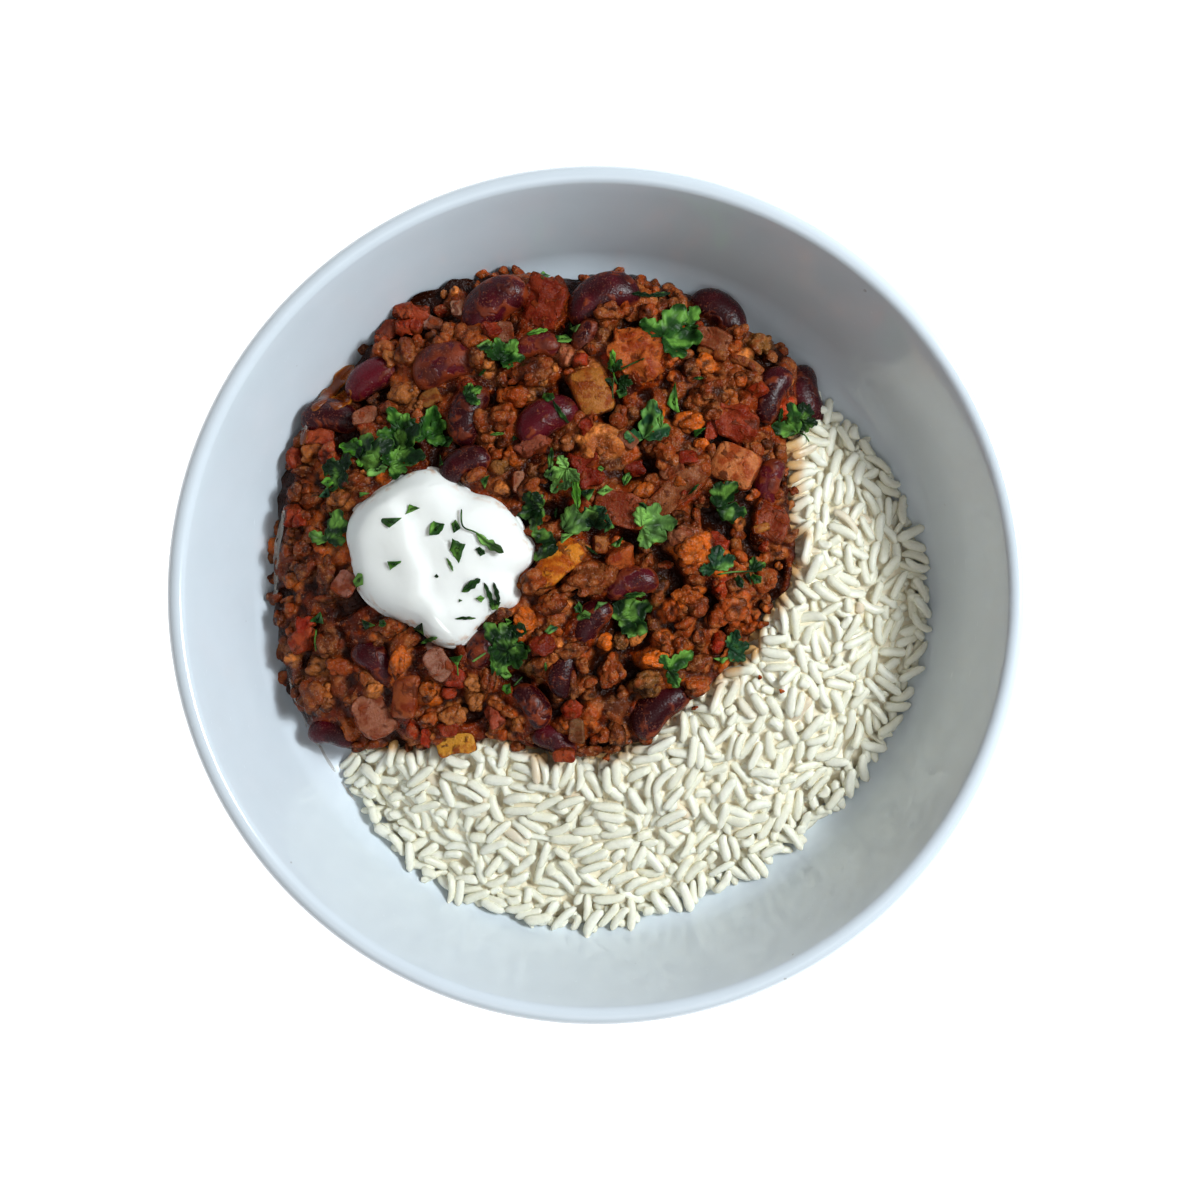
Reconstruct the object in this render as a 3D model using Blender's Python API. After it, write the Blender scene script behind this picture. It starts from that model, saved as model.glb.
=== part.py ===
"""A bowl of chili con carne, served beside rice and topped with sour cream.

Metres, +Z up. The origin is the bottom centre of the bowl's foot ring. The chili lies
on the -X +Y side, and the rice is a crescent round it on the +X -Y side.
"""

import math

import bmesh
import bpy
from mathutils import Matrix, Vector, noise

MM = 0.001

# The bowl, a turned piece of glazed stoneware.
BOWL_RADIUS = 110 * MM
BOWL_HEIGHT = 52 * MM
RIM_THICKNESS = 5 * MM
FLOOR_LEVEL = 9.5 * MM
FLOOR_CORNER = 90.3 * MM  # radius at which the wall's line would meet the floor
CORNER_ROUNDING = 16 * MM
WALL_SLOPE = math.radians(70)
WALL_THICKNESS = 4.6 * MM
FOOT_OUTER = 66 * MM
FOOT_WIDTH = 6 * MM
FOOT_HEIGHT = 3.6 * MM
FOOT_EDGE = 1 * MM
BELLY_ROUNDING = 19 * MM
BOWL_STEPS = 48

# Clear space between solids that touch.
GAP = 0.35 * MM

# The chili mound: outline radii from its centre, each 15 degrees from +X.
CHILI_CENTRE = (-14 * MM, 22 * MM)
CHILI_OUTLINE = [
    67, 69, 80, 75, 72, 69, 65, 68, 68, 67, 68, 71,
    74, 78, 84, 87, 74, 63, 65, 68, 64, 65, 65, 69,
]
CHILI_CREST = 34 * MM
CHILI_EDGE_DEPTH = 4.5 * MM
CHILI_FLATNESS = 4  # a higher number keeps the mound level further out
CHILI_STEEPNESS = 0.6  # a lower number makes its edge steeper
CHILI_LUMP = 2.2 * MM
CHILI_LUMP_WIDTH = 9 * MM
CHILI_SECTORS = 42
CHILI_RINGS = 12
CHILI_UNDER_RINGS = (0.5, 0.8, 0.92, 1.0)

# The rice heap: edge radii from the bowl's axis, evenly spaced between two headings.
RICE_HEADINGS = (-146, 40)
RICE_OUTLINE = [84, 89, 91, 92, 91, 88.5, 88, 87.5, 89, 90.5, 91, 89.5, 87.5, 83]
RICE_DEPTH = 13 * MM
RICE_EDGE_DEPTH = 2.6 * MM
RICE_TOE = 9 * MM  # how far the rice runs in under the chili
RICE_SHOULDER = 5 * MM
RICE_SLOPE = 42 * MM
RICE_STEEPNESS = 0.6
RICE_END_FADE = 12  # degrees over which the chili stops lying on rice at the crescent's ends
RICE_LUMP = 1.1 * MM
RICE_LUMP_WIDTH = 11 * MM
RICE_SECTORS = 34
RICE_ROWS = 6

# The sour cream dollop: outline radii from its centre, each 15 degrees from +X.
CREAM_CENTRE = (-42.5 * MM, 10.5 * MM)
CREAM_OUTLINE = [
    26.5, 23.5, 22.5, 22.5, 18.5, 20, 22.5, 24, 23.5, 23, 24.5, 25,
    23.5, 24, 23, 23, 20, 19.5, 22, 25, 24.5, 22.5, 25, 22.5,
]
CREAM_HEIGHT = 9 * MM
CREAM_SUNK = 1.6 * MM
CREAM_BELLY = 2.2 * MM
CREAM_FOLD = 1.8 * MM
CREAM_FLATNESS = 3.2
CREAM_SECTORS = 32
CREAM_RINGS = 5
CREAM_UNDER_RINGS = (0.45, 0.85, 0.99)

# Kidney beans: x, y, heading, length, lift of the middle over the chili, pitch.
# Millimetres and degrees. A bean's width and thickness follow from its length.
BEANS = [
    (-61.5, 59.0, 31, 16.0, 0.5, 0),
    (-72.0, 47.5, -5, 16.0, 0.5, 4),
    (-41.0, 61.5, 20, 18.5, 0.0, 0),
    (-34.3, 48.3, 72, 17.0, 0.8, 5),
    (-35.6, 34.8, 24, 14.5, 1.8, -6),
    (-28.4, 78.2, 42, 20.5, 1.8, 0),
    (0.7, 80.0, 25, 20.5, 2.2, 0),
    (-16.0, 66.0, 5, 13.0, 0.0, 0),
    (-14.0, 47.0, 30, 18.0, 0.0, 0),
    (-3.2, 69.5, 60, 11.0, 0.0, -10),
    (34.0, 78.0, -40, 17.5, 0.5, 0),
    (46.8, 54.8, 67, 16.0, 0.6, 6),
    (57.4, 55.0, 105, 17.0, 0.6, -4),
    (46.6, 31.0, 75, 13.0, 0.4, 12),
    (16.2, -30.2, 42, 19.0, 0.8, 8),
    (-72.4, -38.0, -10, 13.0, 0.8, 0),
    (-59.0, -17.6, -45, 14.0, 0.0, 8),
    (-29.5, -12.8, 45, 15.0, 0.0, 0),
    (-17.2, -29.0, -55, 13.5, 0.6, 0),
    (-11.0, -39.0, -30, 13.0, 0.2, 0),
    (-8.8, -20.6, 78, 13.0, 0.0, 0),
    (8.8, 3.0, 12, 15.0, 0.0, 0),
    (-2.2, -7.0, 56, 14.5, 0.0, 0),
]
BEAN_WIDTH_RATIO = 0.54
BEAN_THICKNESS_RATIO = 0.46
BEAN_BEND_RATIO = 0.13
BEAN_BLUNTNESS = 0.42  # half an ellipse is 0.5, and a lower number makes fuller ends
BEAN_SIDES = 8
BEAN_RINGS = 5

# Pepper pieces, cut in dice: x, y, heading, length, width, thickness, lift, pitch.
PEPPERS = [
    (-1.2, 54.2, -68, 13.0, 9.5, 4.2, 1.6, 6),
    (-10.3, 8.7, 42, 15.0, 7.5, 4.2, 1.4, -10),
    (-38.4, -39.6, 12, 11.0, 7.0, 4.5, 0.2, 0),
    (-51.0, -27.0, 80, 9.5, 6.5, 5.0, 0.8, 10),
    (36.8, 34.4, -24, 12.5, 10.5, 6.5, 1.2, 12),
]

# Tomato pieces: x, y, heading, length, width, thickness, lift, pitch.
TOMATOES = [
    (-14.4, 78.2, 84, 14.5, 12.0, 8.0, 1.0, 0),
    (10.6, 64.8, -20, 15.0, 13.5, 8.0, 0.6, 0),
    (-2.8, 32.8, 10, 10.0, 9.5, 7.0, 0.8, 0),
    (36.6, 46.6, -18, 12.5, 9.5, 6.5, 0.0, 0),
]

# Onion pieces: x, y, heading, length, width, thickness, lift, pitch.
ONIONS = [
    (21.6, 27.6, 40, 18.0, 7.0, 3.2, 0.8, 8),
    (-60.0, -32.0, -62, 13.0, 9.5, 3.8, 0.8, 0),
    (6.4, 22.4, -16, 14.0, 9.0, 3.8, 0.9, 0),
    (46.8, 19.6, -28, 9.0, 8.5, 4.0, 0.9, 8),
    (31.6, 69.0, -18, 9.5, 6.5, 3.2, 0.9, 0),
    (-42.6, -18.2, -48, 8.0, 6.5, 3.4, 0.6, 0),
]
PEPPER_SKEW = 0.06
PEPPER_EDGE = 0.8 * MM
TOMATO_LUMP = 0.16
TOMATO_LUMP_SIZE = 0.7
ONION_CURL = 0.16
ONION_BLUNTNESS = 0.7
ONION_SECTORS = 8


def clear_scene():
    for thing in list(bpy.data.objects):
        bpy.data.objects.remove(thing, do_unlink=True)


def food_material(name, colour, roughness):
    made = bpy.data.materials.new(name)
    made.use_nodes = True
    shader = made.node_tree.nodes["Principled BSDF"]
    shader.inputs["Base Color"].default_value = (*colour, 1)
    shader.inputs["Roughness"].default_value = roughness
    shader.inputs["Metallic"].default_value = 0
    return made


def smooth(t):
    t = min(max(t, 0.0), 1.0)
    return t * t * (3 - 2 * t)


def along(values, place, closed):
    """The value at a place counted in steps, on a smooth curve through evenly spaced values."""
    count = len(values)
    first = math.floor(place)
    t = place - first
    near = []
    for step in (-1, 0, 1, 2):
        index = first + step
        near.append(values[index % count if closed else min(max(index, 0), count - 1)])
    a, b, c, d = near
    return b + 0.5 * t * (c - a + t * (2 * a - 5 * b + 4 * c - d + t * (3 * (b - c) + d - a)))


def lump(x, y, width, seed):
    """Soft bumps between -1 and 1, about one width apart."""
    place = Vector((x / width, y / width, seed))
    return noise.noise(place) + 0.4 * noise.noise(place * 2.1)


def bowl_inside(radius, clearance=0.0):
    """The level of the bowl's inner surface, moved inwards by a clearance along its normal."""
    tangent = CORNER_ROUNDING * math.tan(WALL_SLOPE / 2)
    arc_x = FLOOR_CORNER - tangent
    arc_z = FLOOR_LEVEL + CORNER_ROUNDING
    arc_radius = CORNER_ROUNDING - clearance
    arc_end = arc_x + arc_radius * math.sin(WALL_SLOPE)
    if radius <= arc_x:
        return FLOOR_LEVEL + clearance
    if radius <= arc_end:
        return arc_z - math.sqrt(arc_radius**2 - (radius - arc_x) ** 2)
    end_level = arc_z - arc_radius * math.cos(WALL_SLOPE)
    return end_level + (radius - arc_end) * math.tan(WALL_SLOPE)


def past_chili(x, y):
    """How far outside the chili's outline a point is; negative is under the chili."""
    dx = x - CHILI_CENTRE[0]
    dy = y - CHILI_CENTRE[1]
    place = math.atan2(dy, dx) / math.tau * len(CHILI_OUTLINE)
    return math.hypot(dx, dy) - along(CHILI_OUTLINE, place, True) * MM


def rice_edge(heading):
    """Outer radius of the rice at a heading in degrees."""
    start, end = RICE_HEADINGS
    place = (heading - start) / (end - start) * (len(RICE_OUTLINE) - 1)
    return along(RICE_OUTLINE, place, False) * MM


def rice_top(x, y):
    radius = math.hypot(x, y)
    heading = math.degrees(math.atan2(y, x))
    rise = smooth((past_chili(x, y) + RICE_TOE) / (RICE_TOE + RICE_SHOULDER))
    fall = smooth((rice_edge(heading) - radius) / RICE_SLOPE) ** RICE_STEEPNESS
    depth = RICE_EDGE_DEPTH + (RICE_DEPTH - RICE_EDGE_DEPTH) * rise * fall
    return bowl_inside(radius) + depth + RICE_LUMP * rise * lump(x, y, RICE_LUMP_WIDTH, 7)


def chili_top(x, y):
    """The mound's level: steep at the edge, then nearly flat, with lumps of mince."""
    dx = x - CHILI_CENTRE[0]
    dy = y - CHILI_CENTRE[1]
    radius = math.hypot(x, y)
    place = math.atan2(dy, dx) / math.tau * len(CHILI_OUTLINE)
    reach = min(math.hypot(dx, dy) / (along(CHILI_OUTLINE, place, True) * MM), 1)
    heading = math.degrees(math.atan2(y, x))
    start, end = RICE_HEADINGS
    over_rice = smooth((heading - start) / RICE_END_FADE) * smooth((end - heading) / RICE_END_FADE)
    ground = bowl_inside(radius)
    ground += (rice_top(x, y) - ground) * over_rice
    dome = (1 - reach**CHILI_FLATNESS) ** CHILI_STEEPNESS
    level = ground + CHILI_EDGE_DEPTH
    level += (CHILI_CREST - level) * dome
    return level + CHILI_LUMP * min(dome * 2, 1) * lump(x, y, CHILI_LUMP_WIDTH, 3)


def arc(centre_x, centre_z, radius, start, end, steps):
    """Points along an arc in the X-Z plane, from one angle to another in radians."""
    points = []
    for step in range(steps + 1):
        angle = start + (end - start) * step / steps
        points.append((centre_x + radius * math.cos(angle), centre_z + radius * math.sin(angle)))
    return points


def bowl_profile():
    """Half section: inner floor, wall, rounded rim, outer wall, belly, foot ring, recess."""
    tangent = CORNER_ROUNDING * math.tan(WALL_SLOPE / 2)
    corner_x = FLOOR_CORNER - tangent
    inner = arc(
        corner_x,
        FLOOR_LEVEL + CORNER_ROUNDING,
        CORNER_ROUNDING,
        -math.pi / 2,
        WALL_SLOPE - math.pi / 2,
        5,
    )
    rim = RIM_THICKNESS / 2
    roll = arc(BOWL_RADIUS - rim, BOWL_HEIGHT - rim, rim, WALL_SLOPE + math.pi / 2, -math.pi / 9, 5)
    belly_z = FOOT_HEIGHT + 1.2 * MM + BELLY_ROUNDING
    wall_x = FLOOR_CORNER + (belly_z - FLOOR_LEVEL) / math.tan(WALL_SLOPE)
    wall_x += WALL_THICKNESS / math.sin(WALL_SLOPE)
    belly_x = wall_x - BELLY_ROUNDING / math.sin(WALL_SLOPE)
    belly = arc(belly_x, belly_z, BELLY_ROUNDING, WALL_SLOPE - math.pi / 2, -math.pi / 2, 4)
    foot = [
        (FOOT_OUTER + FOOT_EDGE, FOOT_HEIGHT),
        (FOOT_OUTER, FOOT_EDGE),
        (FOOT_OUTER - FOOT_EDGE, 0),
        (FOOT_OUTER - FOOT_WIDTH + FOOT_EDGE, 0),
        (FOOT_OUTER - FOOT_WIDTH, FOOT_EDGE),
        (FOOT_OUTER - FOOT_WIDTH - FOOT_EDGE, FOOT_HEIGHT),
        (0, FOOT_HEIGHT),
    ]
    return [(0, FLOOR_LEVEL)] + inner + roll + belly + foot


def add_object(name, mesh, material):
    made = bpy.data.objects.new(name, mesh)
    bpy.context.scene.collection.objects.link(made)
    mesh.materials.append(material)
    return made


def as_cutter(cutter, group):
    """Hides a cutter from the render and files it with the cutters of one group."""
    cutter.hide_render = True
    cutter.display_type = "WIRE"
    bpy.context.scene.collection.objects.unlink(cutter)
    group.objects.link(cutter)


def cut_by(target, name, group):
    """Cuts a solid by all the cutters of a group."""
    cut = target.modifiers.new(name, "BOOLEAN")
    cut.operation = "DIFFERENCE"
    cut.operand_type = "COLLECTION"
    cut.collection = group
    cut.solver = "EXACT"


def make_bowl():
    mesh = bpy.data.meshes.new("bowl")
    points = [(x, 0, z) for x, z in bowl_profile()]
    mesh.from_pydata(points, [(i, i + 1) for i in range(len(points) - 1)], [])
    bowl = add_object("bowl", mesh, food_material("glazed_white", (0.82, 0.86, 0.90), 0.15))
    turn = bowl.modifiers.new("turned", "SCREW")
    turn.axis = "Z"
    turn.steps = BOWL_STEPS
    turn.render_steps = BOWL_STEPS
    turn.use_merge_vertices = True
    turn.merge_threshold = 0.00001
    turn.use_smooth_shade = True
    return bowl


def mesh_of_rings(name, centre_top, top, bottom, centre_bottom):
    """A closed mesh from rings of points: a top and an underside, joined at their outer rings."""
    made = bmesh.new()
    top_rings = [[made.verts.new(point) for point in ring] for ring in top]
    bottom_rings = [[made.verts.new(point) for point in ring] for ring in bottom]
    count = len(top_rings[0])
    for rings, centre in ((top_rings, centre_top), (bottom_rings, centre_bottom)):
        middle = made.verts.new(centre)
        for i in range(count):
            made.faces.new((middle, rings[0][i], rings[0][(i + 1) % count]))
        for inner, outer in zip(rings, rings[1:]):
            bridge(made, inner, outer)
    bridge(made, top_rings[-1], bottom_rings[-1])
    return finished(made, name)


def bridge(made, inner, outer):
    count = len(inner)
    for i in range(count):
        following = (i + 1) % count
        made.faces.new((inner[i], outer[i], outer[following], inner[following]))


def finished(made, name):
    # A piece and its cutter are split the same way, so that the gap between them stays even.
    bmesh.ops.triangulate(made, faces=made.faces, quad_method="FIXED")
    bmesh.ops.recalc_face_normals(made, faces=made.faces)
    mesh = bpy.data.meshes.new(name)
    made.to_mesh(mesh)
    made.free()
    mesh.shade_smooth()
    return mesh


def rings_about(centre, outline, shares, sectors, level, grow=0.0):
    """Rings of points at shares of an outline, each point at a level that depends on x and y."""
    rings = []
    for share in shares:
        ring = []
        for i in range(sectors):
            angle = math.tau * i / sectors
            reach = along(outline, i / sectors * len(outline), True) * MM + grow
            x = centre[0] + share * reach * math.cos(angle)
            y = centre[1] + share * reach * math.sin(angle)
            ring.append((x, y, level(x, y, share)))
        rings.append(ring)
    return rings


def make_chili():
    # Rings lie closer together towards the steep edge.
    shares = [1 - (1 - i / CHILI_RINGS) ** 1.25 for i in range(1, CHILI_RINGS + 1)]
    x, y = CHILI_CENTRE
    top = rings_about(
        CHILI_CENTRE, CHILI_OUTLINE, shares, CHILI_SECTORS, lambda x, y, share: chili_top(x, y)
    )
    under = rings_about(
        CHILI_CENTRE,
        CHILI_OUTLINE,
        CHILI_UNDER_RINGS,
        CHILI_SECTORS,
        lambda x, y, share: bowl_inside(math.hypot(x, y), GAP),
    )
    mesh = mesh_of_rings("chili", (x, y, chili_top(x, y)), top, under, (x, y, FLOOR_LEVEL + GAP))
    return add_object("chili", mesh, food_material("mince_and_sauce", (0.20, 0.05, 0.02), 0.3))


def make_rice(name, grow):
    """The crescent of rice, as rows from under the chili out to the edge at each heading."""
    start, end = RICE_HEADINGS
    spread = math.degrees(2 * grow / BOWL_RADIUS)
    made = bmesh.new()
    top = []
    under = []
    for i in range(RICE_SECTORS + 1):
        heading = start + (end - start) * i / RICE_SECTORS
        if i in (0, RICE_SECTORS):
            heading += math.copysign(spread, i - 1)
        direction = Vector((math.cos(math.radians(heading)), math.sin(math.radians(heading)), 0))
        outer = rice_edge(heading)
        inner = outer - 3 * MM
        while past_chili(inner * direction.x, inner * direction.y) > -RICE_TOE:
            inner -= 0.5 * MM
        top.append([])
        under.append([])
        for row in range(RICE_ROWS + 1):
            radius = inner + (outer - inner) * row / RICE_ROWS
            place = direction * radius
            high = rice_top(place.x, place.y) + grow
            low = bowl_inside(radius, GAP) - 4 * grow
            if row in (0, RICE_ROWS):
                place += direction * math.copysign(4 * grow, row - 1)
            top[-1].append(made.verts.new((place.x, place.y, high)))
            under[-1].append(made.verts.new((place.x, place.y, low)))
    for i in range(RICE_SECTORS):
        for row in range(RICE_ROWS):
            for side in (top, under):
                made.faces.new(
                    (side[i][row], side[i + 1][row], side[i + 1][row + 1], side[i][row + 1])
                )
        for row in (0, RICE_ROWS):
            made.faces.new((top[i][row], top[i + 1][row], under[i + 1][row], under[i][row]))
    for i in (0, RICE_SECTORS):
        for row in range(RICE_ROWS):
            made.faces.new((top[i][row], top[i][row + 1], under[i][row + 1], under[i][row]))
    return add_object(name, finished(made, name), food_material(name, (0.80, 0.76, 0.62), 0.45))


def cream_top(x, y, share):
    """A low dollop with a rolled edge and a few broad folds."""
    dx = (x - CREAM_CENTRE[0]) / MM
    dy = (y - CREAM_CENTRE[1]) / MM
    rise = math.sqrt(1 - share**CREAM_FLATNESS)
    fold = math.sin(0.19 * dx + 0.11 * dy + 0.6) * math.cos(0.12 * dy - 0.1 * dx)
    rim = chili_top(x, y) - CREAM_SUNK
    crown = chili_top(*CREAM_CENTRE) - CREAM_SUNK + CREAM_HEIGHT + CREAM_FOLD * fold
    return rim + (crown - rim) * rise


def cream_under(x, y, share):
    return cream_top(x, y, 1) - CREAM_BELLY * (1 - share**4)


def make_cream(name, grow):
    shares = [math.sin(math.pi / 2 * i / CREAM_RINGS) for i in range(1, CREAM_RINGS + 1)]
    x, y = CREAM_CENTRE
    top = rings_about(
        CREAM_CENTRE,
        CREAM_OUTLINE,
        shares,
        CREAM_SECTORS,
        lambda x, y, share: cream_top(x, y, share) + grow,
        grow,
    )
    under = rings_about(
        CREAM_CENTRE,
        CREAM_OUTLINE,
        CREAM_UNDER_RINGS,
        CREAM_SECTORS,
        lambda x, y, share: cream_under(x, y, share) - grow - GAP,
        grow,
    )
    mesh = mesh_of_rings(
        name, (x, y, cream_top(x, y, 0) + grow), top, under, (x, y, cream_under(x, y, 0) - grow)
    )
    return add_object(name, mesh, food_material(name, (0.88, 0.88, 0.84), 0.35))


def bean_mesh(name, length, grow):
    """A kidney: an ellipsoid whose spine is bent, with a shallow notch on its inner side."""
    half = length / 2 + grow
    width = length * BEAN_WIDTH_RATIO / 2 + grow
    thick = length * BEAN_THICKNESS_RATIO / 2 + grow
    bend = length * BEAN_BEND_RATIO
    made = bmesh.new()
    rings = []
    for i in range(1, BEAN_RINGS):
        along_spine = -math.cos(math.pi * i / BEAN_RINGS)
        fat = (1 - along_spine**2) ** BEAN_BLUNTNESS
        ring = []
        for j in range(BEAN_SIDES):
            angle = math.tau * (j + 0.5) / BEAN_SIDES
            y = width * fat * math.cos(angle) - bend * (along_spine**2 - 0.4)
            z = thick * fat * math.sin(angle)
            ring.append(made.verts.new((half * along_spine, y, z)))
        rings.append(ring)
    for inner, outer in zip(rings, rings[1:]):
        bridge(made, inner, outer)
    for ring, end in ((rings[0], -half), (rings[-1], half)):
        tip = made.verts.new((end, -bend * 0.6, 0))
        for j in range(BEAN_SIDES):
            made.faces.new((tip, ring[j], ring[(j + 1) % BEAN_SIDES]))
    return finished(made, name)


def pepper_mesh(name, length, width, thickness, grow):
    """A diced piece: a skewed slab, a little narrower at one end, with rounded edges."""
    made = bmesh.new()
    skew = PEPPER_SKEW * length
    corners = []
    for z in (-thickness / 2 - grow, thickness / 2 + grow):
        for x, y in ((-1, -1), (1, -0.82), (1, 0.9), (-0.9, 1)):
            along_x = x * (length / 2 + grow) + skew * y
            corners.append(made.verts.new((along_x, y * (width / 2 + grow), z)))
    low, high = corners[:4], corners[4:]
    made.faces.new(low[::-1])
    made.faces.new(high)
    for i in range(4):
        following = (i + 1) % 4
        made.faces.new((low[i], low[following], high[following], high[i]))
    bmesh.ops.bevel(made, geom=made.edges[:], offset=PEPPER_EDGE, segments=1, affect="EDGES")
    return finished(made, name)


def tomato_mesh(name, length, width, thickness, grow):
    """A soft torn piece: a ball pulled out of round and squashed to its size."""
    made = bmesh.new()
    bmesh.ops.create_icosphere(made, subdivisions=2, radius=1)
    for point in made.verts:
        place = point.co / TOMATO_LUMP_SIZE + Vector((length / MM, 0, 0))
        out = 1 + TOMATO_LUMP * noise.noise(place)
        x = point.co.x * out * (length / 2 + grow)
        y = point.co.y * out * (width / 2 + grow)
        z = point.co.z * out * (thickness / 2 + grow)
        point.co = (x, y, z)
    return finished(made, name)


def blunt(share):
    return math.copysign(abs(share) ** ONION_BLUNTNESS, share)


def onion_mesh(name, length, width, thickness, grow):
    """A piece of one onion layer: a plate with soft edges, curled across its width."""
    half_length = length / 2 + grow
    half_width = width / 2 + grow
    half_thick = thickness / 2 + grow
    sides = []
    for sign in (1, -1):
        rings = []
        for share, fullness in ((0.62, 1.0), (0.96, 0.62)):
            ring = []
            for i in range(ONION_SECTORS):
                angle = math.tau * (i + 0.5) / ONION_SECTORS
                x = share * half_length * blunt(math.cos(angle))
                y = share * half_width * blunt(math.sin(angle))
                sag = ONION_CURL * y * y / half_width
                ring.append((x, y, sign * half_thick * fullness - sag))
            rings.append(ring)
        sides.append(rings)
    return mesh_of_rings(name, (0, 0, half_thick), sides[0], sides[1], (0, 0, -half_thick))


def lowest_clear(points):
    """How far a solid must rise so that all its points clear the bowl."""
    rise = 0.0
    for point in points:
        level = bowl_inside(math.hypot(point.x, point.y), 2 * GAP)
        rise = max(rise, level - point.z)
    return rise


def place_piece(name, build, size, spot, material, group):
    """Makes one piece and its cutter, which is the same piece grown by the gap.

    The spot is x, y, heading, lift and pitch. The piece sits on the chili's surface, raised by
    its lift, and higher where it would otherwise touch the bowl.
    """
    x, y, heading, lift, pitch = spot
    piece = add_object(name, build(name, *size, 0.0), material)
    cutter = add_object(f"{name}_cutter", build(f"{name}_cutter", *size, GAP), material)
    turned = Matrix.Rotation(math.radians(heading), 4, "Z")
    turned = turned @ Matrix.Rotation(math.radians(pitch), 4, "Y")
    level = chili_top(x * MM, y * MM) + lift * MM
    placed = Matrix.Translation((x * MM, y * MM, level)) @ turned
    rise = lowest_clear([placed @ point.co for point in piece.data.vertices])
    placed = Matrix.Translation((0, 0, rise)) @ placed
    piece.matrix_world = placed
    cutter.matrix_world = placed
    as_cutter(cutter, group)
    return piece


def place_row(kind, rows, build, material, group):
    """One piece for each row of x, y, heading, length, width, thickness, lift and pitch."""
    for i, (x, y, heading, length, width, thickness, lift, pitch) in enumerate(rows, 1):
        size = (length * MM, width * MM, thickness * MM)
        spot = (x, y, heading, lift, pitch)
        place_piece(f"{kind}_{i}", build, size, spot, material, group)


def make_all():
    clear_scene()
    group = bpy.data.collections.new("piece_cutters")
    heaps = bpy.data.collections.new("heap_cutters")
    for collection in (group, heaps):
        bpy.context.scene.collection.children.link(collection)
    make_bowl()
    chili = make_chili()
    rice = make_rice("rice", 0.0)
    cream = make_cream("sour_cream", 0.0)
    as_cutter(make_rice("rice_cutter", GAP), heaps)
    as_cutter(make_cream("sour_cream_cutter", GAP), heaps)
    bean_skin = food_material("kidney_bean", (0.09, 0.015, 0.02), 0.3)
    for i, (x, y, heading, length, lift, pitch) in enumerate(BEANS, 1):
        spot = (x, y, heading, lift, pitch)
        place_piece(f"kidney_bean_{i:02d}", bean_mesh, (length * MM,), spot, bean_skin, group)
    place_row("pepper", PEPPERS, pepper_mesh, food_material("pepper", (0.55, 0.20, 0.02), 0.3), group)
    place_row("tomato", TOMATOES, tomato_mesh, food_material("tomato", (0.45, 0.05, 0.01), 0.3), group)
    place_row("onion", ONIONS, onion_mesh, food_material("onion", (0.45, 0.20, 0.11), 0.3), group)
    cut_by(chili, "heaps", heaps)
    cut_by(chili, "pieces", group)
    cut_by(rice, "pieces", group)
    cut_by(cream, "pieces", group)


make_all()
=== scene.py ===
# Chili con carne in its bowl, with rice, sour cream and parsley.
# Sizes are in millimetres up to the moment a mesh is made. +Z is up, and the bowl stands on z = 0.
import math

import bpy
import numpy as np
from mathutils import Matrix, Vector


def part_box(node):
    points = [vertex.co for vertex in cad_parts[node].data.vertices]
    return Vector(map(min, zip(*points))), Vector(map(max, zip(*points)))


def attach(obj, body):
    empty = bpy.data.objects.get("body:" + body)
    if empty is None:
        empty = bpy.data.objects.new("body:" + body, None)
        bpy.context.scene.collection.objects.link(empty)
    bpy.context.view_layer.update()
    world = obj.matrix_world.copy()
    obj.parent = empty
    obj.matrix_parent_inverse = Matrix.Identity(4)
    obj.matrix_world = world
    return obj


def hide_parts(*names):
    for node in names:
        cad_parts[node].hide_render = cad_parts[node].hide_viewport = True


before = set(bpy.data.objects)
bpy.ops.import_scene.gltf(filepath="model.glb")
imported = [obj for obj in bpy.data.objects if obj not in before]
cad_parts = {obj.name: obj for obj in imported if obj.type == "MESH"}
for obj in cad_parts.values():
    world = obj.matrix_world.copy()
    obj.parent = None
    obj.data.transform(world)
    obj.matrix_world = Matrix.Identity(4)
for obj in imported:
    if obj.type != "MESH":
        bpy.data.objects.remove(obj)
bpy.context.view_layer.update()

mm = 0.001


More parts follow.
